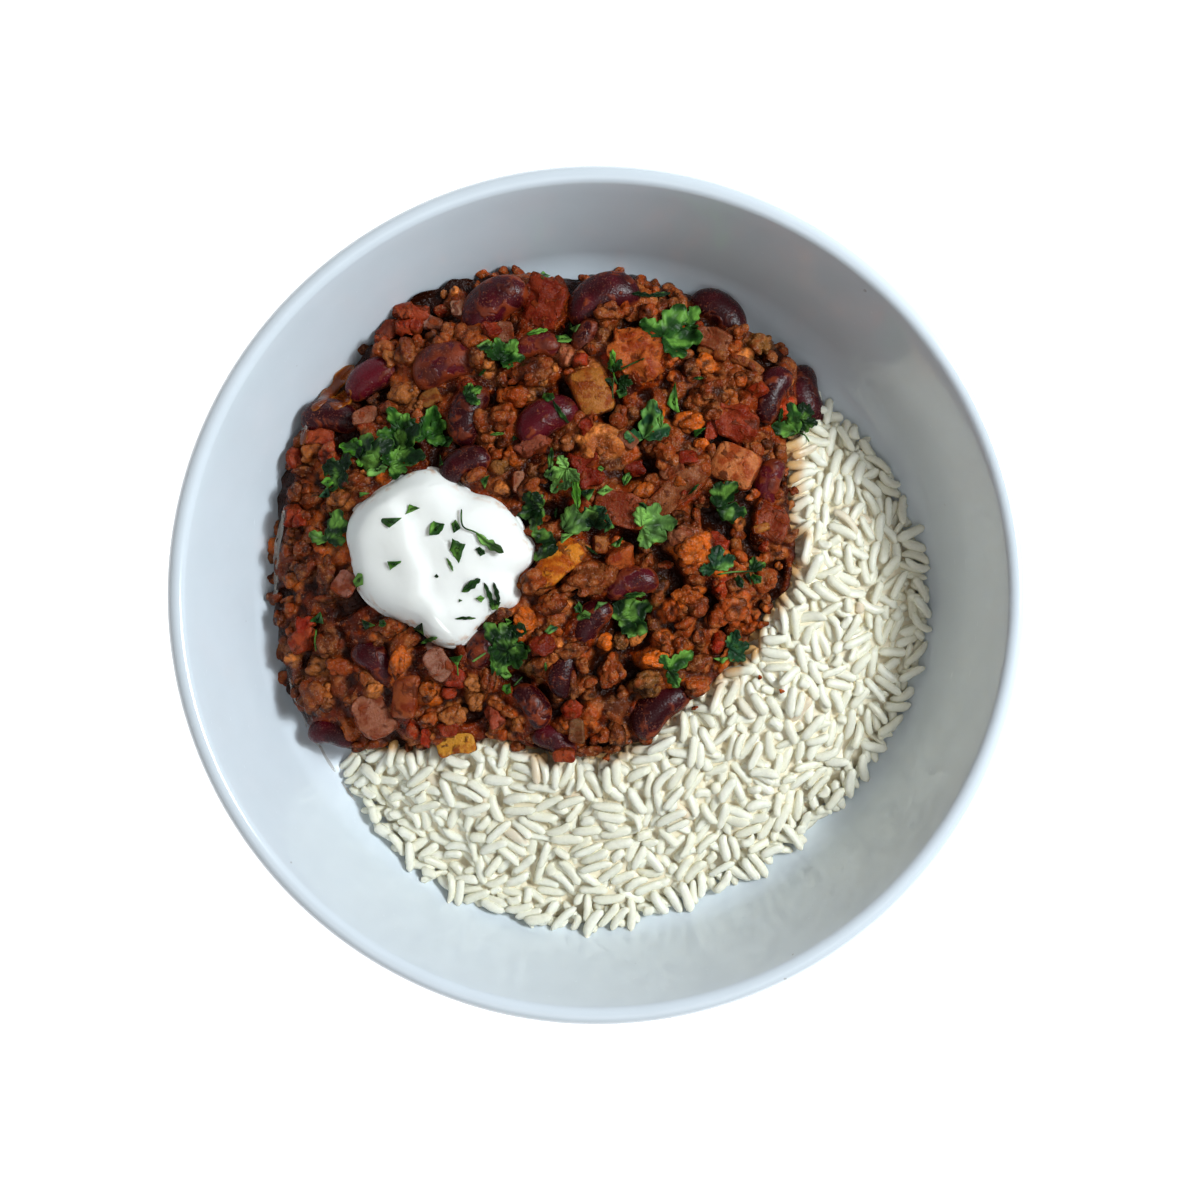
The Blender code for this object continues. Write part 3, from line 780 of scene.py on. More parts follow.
def dropGrains():
    # grains fall one at a time, and each comes to rest on what lies under it
    chance = np.random.default_rng(rice["seed"])
    levels = Levels(riceBed)
    lying = []
    tries = 0
    last = None
    while len(lying) < rice["grains"] and tries < rice["grains"] * rice["tries"]:
        tries += 1
        loose = tries > rice["grains"] * rice["looseFrom"]
        x, y, turn = grainSpots(chance, rice["looseChoices"] if loose else rice["choices"], last)
        if not len(x):
            continue
        length = chance.uniform(*rice["length"]) / 2
        if chance.random() < rice["broken"]:
            length *= chance.uniform(0.4, 0.7)
        width = chance.uniform(*rice["width"]) / 2
        along = np.stack([np.cos(np.radians(turn)), np.sin(np.radians(turn))], -1)
        across = np.stack([-along[:, 1], along[:, 0]], -1)
        rest, slope = restOn(levels, x, y, along, across, length, width)
        above = rest - riceTop(x, y) + 1.2 * np.abs(slope)
        if last is not None and len(above) > 4:
            above[:4] -= 0.25
        pick = above.argmin()
        if above[pick] > (rice["looseHighest"] if loose else rice["highest"]):
            continue
        last = (x[pick], y[pick], turn[pick], rest[pick], slope[pick], length, width)
        lying.append(last)
        raiseLevels(levels, last, along[pick], across[pick])
    return np.array(lying), levels


def makeRice():
    lying, levels = dropGrains()
    count = len(lying)
    print("grains dropped:", count)
    chance = np.random.default_rng(rice["seed"] + 1)
    shape, faces = grainShape(rice["rings"], rice["sides"])
    x, y, turn, rest, slope, length, width = (column[:, None] for column in lying.T)
    bend = chance.normal(0, 0.45, (count, 1))
    rise = chance.normal(0, 0.16, (count, 1))
    taper = chance.normal(0, 0.07, (count, 1))
    flat = chance.uniform(0.62, 0.82, (count, 1))
    roll = chance.uniform(0, math.tau, (count, 1))
    s = shape[:, 0][None, :]
    plump = 1 + taper * s + 0.05 * np.cos(s * 5 + roll)
    width = width * rice["plumpness"]
    side = shape[:, 1] * plump * width
    up = shape[:, 2] * plump * width * flat
    cosine, sine = np.cos(roll * 0.15), np.sin(roll * 0.15)
    side, up = side * cosine - up * sine, side * sine + up * cosine
    # the ends are cut a little on the slant
    slant = chance.normal(0, 0.22, (count, 1))
    along = s * length + slant * side * np.abs(s) ** 3
    side = side + bend * (s**2 - 0.4)
    up = up - rise * (s**2 - 0.4) * 1.5
    cosine, sine = np.cos(np.radians(turn)), np.sin(np.radians(turn))
    points = np.stack([
        x + along * cosine - side * sine,
        y + along * sine + side * cosine,
        rest + along * slope + up,
    ], -1)
    # nothing stands through the bowl
    radius = np.hypot(points[..., 0], points[..., 1])
    points[..., 2] = np.maximum(points[..., 2], bowlInside(radius) + 0.05)
    # grains near the chili have drunk its sauce; deep grains and the gaps between them get painted shade,
    # warmer and darker
    past = pastChili(points[..., 0], points[..., 1])
    patchy = flatBumps(points[..., 0], points[..., 1], 6, 21)
    stain = softStep((5.4 + 4.2 * patchy - past) / 6.0)
    spots = flatBumps(x, y, 3.1, 5)
    stain = np.maximum(stain, softStep((spots - 0.62) / 0.2) * 0.5 * (past < 26))
    depth = riceTop(points[..., 0], points[..., 1]) + 0.6 - points[..., 2]
    shade = softStep(depth / 4.2)
    tone = np.broadcast_to(chance.random((count, 1)), stain.shape)
    index = copiedFaces(faces, count, len(shape))
    fields = {"stain": stain.ravel(), "shade": shade.ravel(), "tone": tone.ravel()}
    grains = outwards((points.reshape(-1, 3), index, fields))
    addPiece("cookedRice", joined([makeRiceCore(levels), grains]), riceFinish(), "rice", "rice")
    return levels


def riceFinish():
    made, shader, start = newFinish(
        "riceGrain", ior=1.4, specular=0.5, subsurface=0.6, subsurfaceRadius=(1, 0.85, 0.6),
        subsurfaceScale=0.0009,
    )
    stain, shade, tone = start.field("stain"), start.field("shade"), start.field("tone")
    grain = start.noise(1.1, 2)
    chalk = start.noise(3.5, 2)
    yellower = tuple(c * k for c, k in zip(rice["cooked"], (0.97, 0.96, 0.92)))
    white = (tone * 0.5 + chalk * 0.5).between(0.3, 0.7).mix(rice["cooked"], yellower)
    # painted shade: deep grains and the gaps between them are darker and warmer
    paintedShade = (shade * 0.85).mix(white, rice["paintedWarmShade"])
    paintedShade = (shade * shade * 0.75).mix(paintedShade, rice["between"])
    sauce = start.noise(7, 3).mix(rice["stained"], (0.62, 0.40, 0.17))
    colour = (stain * (0.62 + grain * 0.5)).between(0.05, 0.95).mix(paintedShade, sauce)
    flecks = start.noise(0.9, 1).between(0.79, 0.82) * start.noise(14, 1).between(0.5, 0.6)
    colour = (flecks * 0.8).mix(colour, (0.10, 0.055, 0.03))
    plug(
        start, shader, colour=colour, roughness=0.18 + grain * 0.2,
        normal=start.bump(grain * 0.6 + start.noise(0.5, 1) * 0.4, 0.14, 0.6),
    )
    return made


riceLevels = makeRice()


chili = {
    "cells": 290,
    "bedSunk": 2.0,
    "seed": 5,
    "sunkenTries": 5000,  # places tried for lumps that are part of the bed
    "edgeTries": 1900,  # places tried for crumbs along the edge
    "looseTries": 260,  # places tried for further crumbs on top
    "grainSize": (0.8, 2.0),  # radius of the curds that the bed's lumps are made of
    "knobSize": (0.9, 2.0),  # radius of the grains that a loose lump is made of
    "span": ((-92, 62), (-50, 92)),  # where places for loose mince are tried, along X and Y
    # relief of the sauce between the lumps: height, width and seed of each kind
    "relief": [(1.7, 11, 3), (1.1, 5, 13)],
    "fineRelief": [(0.40, 2.6, 31), (0.20, 1.3, 41)],
    "pitDepth": 3.4,
    "lapping": ((1.5, 0.30), (4.5, 0.55)),  # how widely sauce levels out, and how far below
    "farPaintedShade": 0.42,  # how much painted shade darkens the chili on its far side
    "edgePaintedShade": 0.12,
    "sunkenKinds": ["brown", "rust", "rust", "tan", "dark", "orange", "brown", "red"],
    "looseKinds": ["brown", "rust", "rust", "tan", "brown", "orange"],
}

# colours of mince and vegetables under the sauce
tones = {
    "dark": (0.10, 0.022, 0.006),
    "brown": (0.20, 0.040, 0.007),
    "rust": (0.34, 0.055, 0.006),
    "tan": (0.58, 0.17, 0.034),
    "orange": (0.54, 0.098, 0.006),
    "red": (0.34, 0.026, 0.004),
    "olive": (0.16, 0.060, 0.012),
    "pink": (0.38, 0.12, 0.055),
}

# the mince that stands out: x, y, length, width, heading, tone
minceRows = [
    (-57, 66.5, 6, 5, 20, "rust"), (-55.5, 64, 5, 4, 80, "tan"), (-50.5, 64, 9, 6, -60, "rust"),
    (-48, 67, 6, 5, 10, "rust"), (-52, 54, 6.5, 5, 30, "tan"), (-55.5, 49.5, 5, 4, 100, "brown"),
    (-57.5, 46.5, 3.5, 3, 0, "brown"), (-44, 69.5, 4, 3.5, 40, "brown"), (-66, 51.5, 5, 4, 120, "dark"),
    (-60, 52.5, 4, 3.5, 60, "dark"), (-66.5, 46, 3, 2.5, 0, "tan"), (-62, 61.5, 4, 3, 30, "orange"),
    (-78, 44.5, 3, 2.5, 50, "red"), (-32.5, 83.5, 3.4, 3, 30, "orange"), (-28, 86, 3.2, 2.8, 30, "orange"),
    (-41.5, 77, 4, 3.4, 0, "red"), (-40, 71, 5, 4.4, 60, "brown"), (-41, 68, 5, 4, 110, "rust"),
    (-31.5, 63, 5, 4, 90, "brown"), (-29, 61, 4, 3.6, 20, "tan"), (-18, 59.5, 13, 9, 20, "rust"),
    (-15.5, 58, 5, 4, 130, "tan"), (-25, 57.5, 6, 5, 70, "brown"), (-22, 53, 8, 5, 0, "rust"),
    (-18, 52.5, 3, 2.6, 0, "tan"), (-16.5, 49, 2.6, 2.4, 0, "brown"), (-25, 47, 8, 7, 20, "rust"),
    (-30.5, 46, 6, 4.5, 90, "brown"), (-35, 56.5, 3, 2.6, 0, "red"), (3, 75.5, 8, 6, 10, "brown"),
    (2, 72, 3, 2.6, 0, "brown"), (7, 76, 6, 4, 30, "rust"), (-2, 65, 4, 3.6, 60, "brown"),
    (-8, 63.5, 5, 4, 90, "pink"), (-7.5, 59.5, 3, 2.8, 0, "rust"), (-11.5, 60.5, 3, 2.8, 0, "tan"),
    (6, 47, 6, 5, 90, "brown"), (19.7, 84, 4.6, 3.8, -50, "brown"), (21.6, 81.8, 4.6, 3.6, -55, "rust"),
    (22.8, 79.8, 4.4, 3.8, -60, "brown"), (20.6, 79, 5, 4.2, 0, "brown"), (14, 76, 6, 5, 30, "rust"),
    (17.5, 78.5, 5, 3, 90, "brown"), (9, 75, 4, 3.6, 0, "brown"), (38.5, 71, 5, 4.4, 45, "brown"),
    (40, 73, 4, 3.4, 120, "rust"), (44, 68, 8, 7, -40, "olive"), (47, 65, 5, 4.2, -50, "brown"),
    (36.5, 67, 5, 4.2, 20, "rust"), (31, 67.5, 4, 3.4, 0, "red"), (29, 62, 6, 5, 10, "orange"),
    (25, 60, 6, 5.6, 60, "dark"), (24, 64, 4, 3.6, 0, "brown"), (41, 58.5, 4, 3.6, 30, "brown"),
    (38.5, 58, 4, 3.6, 100, "rust"), (32, 54.5, 8, 7, 20, "brown"), (27, 53, 6, 5, 70, "rust"),
    (35, 52, 7, 5, 90, "orange"), (25, 46.5, 9, 5, 10, "orange"), (31, 48, 4, 3.6, 0, "brown"),
    (16, 49, 5, 4, 90, "orange"), (9, 48, 4, 3.6, 50, "brown"), (-77, 38.5, 6, 5, 20, "tan"),
    (-72, 38, 6, 5, 60, "red"), (-79, 34, 7, 3.5, 10, "brown"), (-81, 28.5, 6, 5, 60, "brown"),
    (-78.5, 29, 4, 3.6, 0, "rust"), (-77, 26, 7, 4, 20, "brown"), (-79, 21, 4, 3.6, 40, "brown"),
    (-76.5, 16.5, 5, 4.4, 0, "rust"), (-82.5, 17, 3, 2.6, 90, "brown"), (-83.5, 12.5, 5, 4, 90, "brown"),
    (-79, 12.5, 5, 4, 10, "rust"), (-81.5, 8, 3, 2.8, 0, "brown"), (-78, 7, 6, 5, 30, "dark"),
    (-82.5, 4, 5, 4, 70, "orange"), (-72.5, 5.5, 8, 5, 90, "brown"), (-74, 12, 3, 2.8, 0, "rust"),
    (-84, -1.5, 6, 3, 20, "brown"), (-72, -1, 8, 3, 10, "brown"), (-69, 26, 6, 5, 30, "tan"),
    (-62.5, 27, 3, 2.6, 0, "brown"), (-65, 30.5, 6, 4, 20, "brown"), (-72, 24, 4, 3, 90, "rust"),
    (-29, 42.5, 5, 4.2, 40, "brown"), (-27, 37.5, 4, 3.6, 0, "rust"), (-23, 37, 5, 4, 90, "orange"),
    (-25, 41, 4, 3.4, 60, "brown"), (-26, 34, 5, 4.2, 20, "olive"), (-32.5, 31.5, 7, 4, 30, "brown"),
    (-25.5, 28.5, 5, 4.4, 0, "tan"), (-15.5, 31.5, 5, 4, 0, "dark"), (-8, 41, 6, 5, 30, "brown"),
    (-13, 34, 6, 3, 10, "rust"), (-18, 28.5, 6, 4, 20, "brown"), (-15, 26, 4, 3, 60, "rust"),
    (-22, 22.5, 4, 3.6, 0, "brown"), (-15, 20.5, 5, 2.5, 0, "brown"), (-17, 17.5, 6, 3, 20, "rust"),
    (-2.5, 4.5, 13, 8, 10, "brown"), (-17, 3.5, 7, 6, 30, "rust"), (-21.5, 2.5, 3, 2.6, 0, "tan"),
    (-10, 0, 8, 4, 10, "brown"), (18, 37, 8, 7, 90, "rust"), (14, 40, 4, 3.6, 0, "brown"),
    (12.5, 28, 5, 4.2, 30, "orange"), (14.5, 31, 4, 3, 20, "brown"), (22, 30.5, 4, 3.4, 0, "orange"),
    (31, 38, 4, 3, 90, "brown"), (42, 39.5, 6, 5, 60, "rust"), (45, 41, 4, 3.6, 0, "brown"),
    (49, 39, 4, 3.6, 80, "brown"), (42, 27, 4, 3, 20, "rust"), (48.5, 27, 3, 2.6, 0, "brown"),
    (24.5, 27, 5, 3, 40, "red"), (28, 25, 5, 4, 0, "dark"), (22, 20.5, 5, 4, 10, "brown"),
    (26, 19.5, 7, 3, 90, "rust"), (22, 16, 6, 5, 30, "pink"), (25, 12, 8, 6.5, 20, "orange"),
    (24, 8.5, 6, 5, 60, "rust"), (12.5, 12, 4, 3.6, 0, "brown"), (18, 8, 5, 2.5, 0, "red"),
    (13, 9, 4, 3.6, 40, "brown"), (38, 20, 4.6, 3.6, 90, "tan"), (37.8, 16.5, 4.6, 3.8, 90, "rust"),
    (37.2, 13, 4.6, 3.6, 80, "tan"), (38, 10, 4.8, 3.8, -30, "rust"), (41.5, 8.6, 4.8, 3.6, 10, "tan"),
    (45, 9.6, 4.8, 3.8, 25, "rust"), (48.4, 11.4, 4.6, 3.6, 30, "tan"), (45, 12.8, 3.4, 2.6, 0, "red"),
    (51.5, 16, 6, 3, 25, "brown"), (16.5, 2, 7, 4, 65, "olive"), (26, 4, 4, 3.6, 0, "brown"),
    (24, 0, 8, 5, 10, "orange"), (37, 3, 6, 3.4, 10, "brown"), (33, 1, 5, 4, 60, "red"),
    (45, 4, 7, 6, 20, "rust"), (-87, -6, 5, 3, 90, "brown"), (-83.5, -3.5, 4, 3.6, 0, "rust"),
    (-86.3, -15.5, 7, 4, 90, "brown"), (-83, -17, 4, 3, 0, "tan"), (-72.5, -13, 8, 6, 90, "dark"),
    (-75, -19.5, 7, 4.6, 10, "tan"), (-69, -19, 7, 4.4, -10, "rust"), (-81, -23, 4, 2.4, 20, "brown"),
    (-76.5, -27, 9, 8, 90, "brown"), (-73.5, -26, 5, 3.5, 90, "tan"), (-73, -30.5, 4, 3, 0, "brown"),
    (-67, -28.5, 3, 2.4, 0, "brown"), (-62.5, -22, 4, 2.6, 90, "tan"), (-59.5, -24.5, 5, 3, 20, "tan"),
    (-65, -41.5, 4, 3, 0, "brown"), (-60, -40.5, 6, 3.4, 10, "brown"), (-56, -9, 7, 4.5, 20, "rust"),
    (-58, -13, 3, 2.4, 0, "brown"), (-51, -12, 8, 5, 30, "brown"), (-53, -17.5, 8, 4, 90, "orange"),
    (-45, -26, 6, 5, 80, "orange"), (-54, -31, 3, 2, 0, "brown"), (-50, -36, 5, 4, 90, "red"),
    (-45, -33, 6, 5, 30, "rust"), (-25, -5, 4.5, 4, 0, "dark"), (-19, -7, 8, 6, 90, "orange"),
    (-12, -2, 8, 6, 20, "rust"), (-9, -3, 4, 3.6, 0, "tan"), (-7, -14.5, 8, 3.8, 10, "brown"),
    (-4, -18, 5, 4, -50, "rust"), (-6.5, -24.5, 7, 3, 90, "brown"), (-2.5, -23, 5, 4, 30, "rust"),
    (-2, -26.5, 4, 3, 0, "brown"), (2, -12.5, 5, 4.4, 0, "orange"), (6, -12, 5, 4, 90, "olive"),
    (4, -20, 9, 7, 80, "rust"), (6.5, -26, 4, 3.6, 0, "brown"), (-16, -19, 6, 5, 30, "olive"),
    (-33, -24, 4.5, 4, 0, "tan"), (-32.5, -28, 5, 4, 60, "tan"), (-29, -23, 6, 4, 90, "rust"),
    (-38.5, -32, 7, 5, 10, "tan"), (-27.3, -29.3, 4.2, 3, -30, "tan"), (-24.2, -31.4, 4.2, 3, -45, "rust"),
    (-21.6, -34.6, 4.2, 3, -60, "tan"), (-10.5, -27.5, 3, 2.6, 0, "brown"), (1, -38, 6, 5, 20, "rust"),
    (5, -37, 8, 5, 90, "brown"), (-2, -42, 7, 2.8, 0, "brown"), (4, -41.5, 5, 3, 10, "brown"),
    (11.5, -10, 7, 4, 60, "tan"), (14.8, -8, 4, 2.8, -60, "brown"), (16.6, -11.4, 4, 2.8, -60, "rust"),
    (18.4, -14.6, 4, 2.8, -60, "brown"), (20, -4, 6, 5, 90, "rust"), (26, -3, 7, 5, 20, "brown"),
    (23, -7.5, 5, 4.4, 0, "rust"), (22, -13.5, 5, 4.2, 60, "orange"), (18.5, -11, 2.6, 2.4, 0, "orange"),
    (27.5, -11, 5, 4, 90, "brown"), (32, -6, 6, 5, 90, "rust"), (37.5, -11, 6, 5, 90, "brown"),
    (36, -4, 9, 8, 20, "rust"), (16, -17, 7, 5, 10, "orange"), (27, -18.5, 8, 4, 20, "brown"),
    (26.5, -25, 7, 4.5, 10, "rust"), (14, -24, 9, 7, 20, "olive"), (34, -19, 4, 2.2, 30, "orange"),
    # crumbs on the rice
    (50, -26, 1.6, 1.2, 0, "orange"), (26.5, -30.5, 1.8, 1.2, 30, "orange"), (44, -22, 1.2, 1, 0, "rust"),
]


def clusterMesh(rows, splits, knobs, seed):
    # lumps of mince, each a cluster of rounded grains, from rows of
    # x, y, level, length, width, height and heading
    chance = np.random.default_rng(seed)
    aim, faces = ballMesh(splits)
    points, paintedHollowShades = [], []
    for number, (x, y, level, length, width, height, heading) in enumerate(rows):
        size = np.array([length, width, height]) / 2
        mean = size.mean()
        spin = chance.normal(size=(knobs, 3))
        spin /= np.linalg.norm(spin, axis=1)[:, None]
        ball = np.clip(chance.uniform(*chili["knobSize"], knobs) / mean, 0.2, 0.55)
        centre = spin * (1 - ball * chance.uniform(0.7, 1.15, knobs))[:, None]
        centre[0], ball[0] = 0, 0.68
        near = aim @ centre.T
        inside = (ball**2 - (centre**2).sum(1)) + near**2
        outside = near + np.sqrt(np.maximum(inside, 0))
        reach = np.where((inside > 0) & (near >= 0), outside, 0).max(axis=1)
        # the whole lump is uneven too
        reach = reach * (1 + 0.20 * bumps(aim * 1.0 + number * 3.7, 0.9, seed))
        lump = aim * reach[:, None] * size
        lump += 0.22 * wander(lump + number * 11.3, 1.7, seed)
        lump += 0.10 * wander(lump + number * 11.3, 0.8, seed)
        # painted shade in the hollows between the grains and on the lower part of the lump
        foot = softStep((0.55 - lump[:, 2] / size[2]) / 0.75)
        paintedHollowShades.append(np.maximum((1 - softStep((reach - 0.60) / 0.25)) * 0.85, foot * 0.8))
        tilt = chance.normal(0, 16, 2)
        points.append(headed(lump, heading, tilt) + (x, y, level))
    index = copiedFaces(faces, len(rows), len(aim))
    return np.concatenate(points), index, np.concatenate(paintedHollowShades), len(aim)


def deepness(points):
    # painted shade: the chili is darker towards its far side, away from the lamps, and near its edge; it is
    # also darker round its middle
    x, y = points[:, 0], points[:, 1]
    across = softStep((10 - x) / 90) + 0.55 * np.exp(-((x - 6) ** 2 + (y - 22) ** 2) / 900)
    edge = chili["edgePaintedShade"] * softStep((pastChili(x, y) + 6) / 8)
    return np.clip(0.16 + across * chili["farPaintedShade"] + edge, 0, 1)


def tinted(rows, names, splits, knobs, seed):
    points, faces, paintedHollowShade, each = clusterMesh(rows, splits, knobs, seed)
    chance = np.random.default_rng(seed + 50)
    tint = np.array([tones[name] for name in names]) * chance.uniform(0.6, 1.65, (len(names), 1))
    tint = np.repeat(tint, each, axis=0)
    fields = {"tint": tint, "paintedHollowShade": paintedHollowShade, "sauce": 0.0, "paintedShade": deepness(points)}
    return outwards((points, faces, fields))


def minceFinish():
    made, shader, start = newFinish("chiliMince", ior=1.42, specular=0.22)
    tint, paintedHollowShade, sauce = start.field("tint", 1), start.field("paintedHollowShade"), start.field("sauce")
    paintedShade = start.field("paintedShade")
    patch = start.noise(6, 2, distortion=0.4)
    streak = start.noise(2.2, 2)
    fine = start.noise(0.85, 2, 0.6)
    curds = start.node("ShaderNodeTexVoronoi", None, {
        "Vector": start.node("ShaderNodeTexCoord", output=3), "Scale": 1 / (1.15 * mm),
    })
    # the sauce runs from deep red to bright orange where its oil shows
    red = patch.between(0.40, 0.62).mix((0.048, 0.0040, 0.0004), (0.25, 0.027, 0.0016))
    red = (streak.between(0.54, 0.68) * 0.7).mix(red, (0.46, 0.080, 0.005))
    meat = (streak.between(0.46, 0.60) * 0.4).mix(tint, (0.58, 0.20, 0.055))
    meat = (patch.between(0.48, 0.60) * 0.6).mix(meat, red)
    body = sauce.mix(meat, red)
    # painted shade in the small pits of the fine bump
    body = ((1 - fine).between(0.50, 0.68) * 0.35).mix(body, (0.070, 0.009, 0.001))
    # fine pale specks, painted glints on the wet mince
    specks = start.noise(0.55, 1).between(0.60, 0.70) * streak.between(0.36, 0.52)
    body = (specks * 0.5).mix(body, (0.62, 0.30, 0.17))
    # painted shade: near black in crevices, pits and under the lumps
    body = (paintedHollowShade * 0.97).mix(body, (0.009, 0.0014, 0.0004))
    # painted shade over the far side, the edge and the middle of the chili
    body = (paintedShade * 0.6).mix(body, (0.030, 0.006, 0.0015))
    plug(
        start, shader, colour=body, roughness=0.21 - sauce * 0.09 + (fine - 0.5) * 0.2,
        normal=start.bump((1 - curds) * 0.45 + fine * 0.8 + specks * 0.3, 0.62, 1.0),
    )
    return made


# where other food already takes up room, for the loose mince to keep off

cream = {
    "centre": (-42.5, 10.5),
    # its outline from its centre, each 15 degrees from +X
    "outline": [
        26.3, 24, 23, 21.6, 19.4, 20.2, 22.8, 23.4, 23, 23.6, 25.4, 25.4,
        23.6, 23.2, 22.4, 21, 19.8, 19.8, 23.2, 24.4, 22, 21.6, 25, 22.8,
    ],
    "height": 8.2,
    "sunk": 1.6,
    "belly": 2.0,
    "bellyOut": 0.42,  # how far it rolls out over the food, as a share of its depth
    "waves": 0.6,
    "ripples": 0.12,
    "flatness": 3.2,
    "sectors": 250,
    "rings": 74,
}


def creamRadius(x, y):
    return outlineRadius(cream["centre"], cream["outline"], x, y)


def pastCream(x, y):
    return np.hypot(x - cream["centre"][0], y - cream["centre"][1]) - creamRadius(x, y)


# heading and length of each bean, in the order of the nodes
beanRows = [
    (31, 16), (-5, 16), (20, 18.5), (72, 17), (24, 14.5), (42, 20.5), (25, 20.5), (5, 13), (30, 18),
    (60, 11), (-40, 17.5), (67, 16), (105, 17), (75, 13), (42, 19), (-10, 13), (-45, 14), (45, 15),
    (-55, 13.5), (-30, 13), (78, 13), (12, 15), (56, 14.5),
]
# heading, length, width, thickness
pepperRows = [
    (-68, 13, 9.5, 4.2), (42, 15, 7.5, 4.2), (12, 11, 7, 4.5), (80, 11.5, 7, 5), (-24, 12.5, 10.5, 6.5),
]
tomatoRows = [(84, 14.5, 12, 8), (-20, 15, 13.5, 8), (10, 10, 9.5, 7), (-18, 12.5, 9.5, 6.5)]
onionRows = [
    (40, 18, 7, 3.2), (-62, 13, 9.5, 3.8), (-16, 14, 9, 3.8), (-28, 9, 8.5, 4), (-18, 9.5, 6.5, 3.2),
    (-48, 8, 6.5, 3.4),
]


def namesOf(kind, rows):
    digits = len(str(len(rows)))
    return [f"{kind}_{i + 1:0{digits}d}" for i in range(len(rows))]


def takenRoom():
    room = []
    for name, (heading, length) in zip(namesOf("kidney_bean", beanRows), beanRows):
        room.append((*centreOf(name)[:2], length / 2, length * 0.27, heading))
    for kind, rows in (("pepper", pepperRows), ("tomato", tomatoRows), ("onion", onionRows)):
        for name, (heading, length, width, _) in zip(namesOf(kind, rows), rows):
            room.append((*centreOf(name)[:2], length / 2, width / 2, heading))
    return np.array(room)


room = takenRoom()


def howFree(x, y, spare):
    # false where a bean, a vegetable or the cream lies, grown by the spare distance
    free = pastCream(x, y) > spare
    for centreX, centreY, long, short, heading in room:
        s, t = ownAxes(x, y, centreX, centreY, heading)
        free &= (s / (long + spare)) ** 2 + (t / (short + spare)) ** 2 > 1
    return free


def fillet(x, y):
    # the sauce climbs a little round whatever lies in it
    rise = np.exp(-((np.maximum(pastCream(x, y), 0) / 1.4) ** 2)) * 0.5
    for centreX, centreY, long, short, heading in room:
        s, t = ownAxes(x, y, centreX, centreY, heading)
        gap = (np.hypot(s / long, t / short) - 1) * short
        rise = np.maximum(rise, np.exp(-((gap / 1.9) ** 2)) * 1.9)
    return rise


def pits(x, y):
    return softStep((flatBumps(x, y, 7, 17) - 0.10) / 0.38)


def bedRelief(x, y):
    lumps, grain = (
        sum(height * flatBumps(x, y, width, seed) for height, width, seed in chili[kind])
        for kind in ("relief", "fineRelief")
    )
    # deep gaps between the clumps, darkened with painted shade in makeBedLevels
    return lumps - chili["pitDepth"] * pits(x, y) + grain


def spread(tries, sizes, apart, placed, chance, edge, spare):
    # places that keep clear of each other and of beans, vegetables and cream
    found = []
    x, y = (chance.uniform(*ends, tries) for ends in chili["span"])
    size = chance.uniform(*sizes, tries)
    good = (pastChili(x, y) < edge) & howFree(x, y, spare)
    for x, y, size in zip(x[good], y[good], size[good]):
        known = np.array(placed)
        gap = np.hypot(known[:, 0] - x, known[:, 1] - y) - (known[:, 2] + size / 2) * apart
        if gap.min() < 0:
            continue
        placed.append((x, y, size / 2))
        found.append((x, y, size))
    return found


def sunkenLumps(chance):
    # mince in the bed, as rows of x, y, length, width, heading, tint and steepness
    lumps = [(*row[:2], row[2] * 1.25, row[3] * 1.25, row[4], tones[row[5]], 0.30) for row in minceRows]
    taken = [(row[0], row[1], (row[2] + row[3]) / 4) for row in minceRows]
    kinds = chili["sunkenKinds"]
    for x, y, size in spread(chili["sunkenTries"], (3.6, 10), 0.80, taken, chance, -1.5, 0.6):
        spot = np.array(x), np.array(y)
        if flatBumps(*spot, 12, 61) > 0.02 or pits(*spot) > 0.3:
            continue  # only sauce here, or a gap
        tone = tones[kinds[chance.integers(len(kinds))]]
        length, heading = size * chance.uniform(1, 1.5), chance.uniform(0, 180)
        lumps.append((x, y, length, size, heading, tone, chance.uniform(0.26, 0.46)))
    return lumps


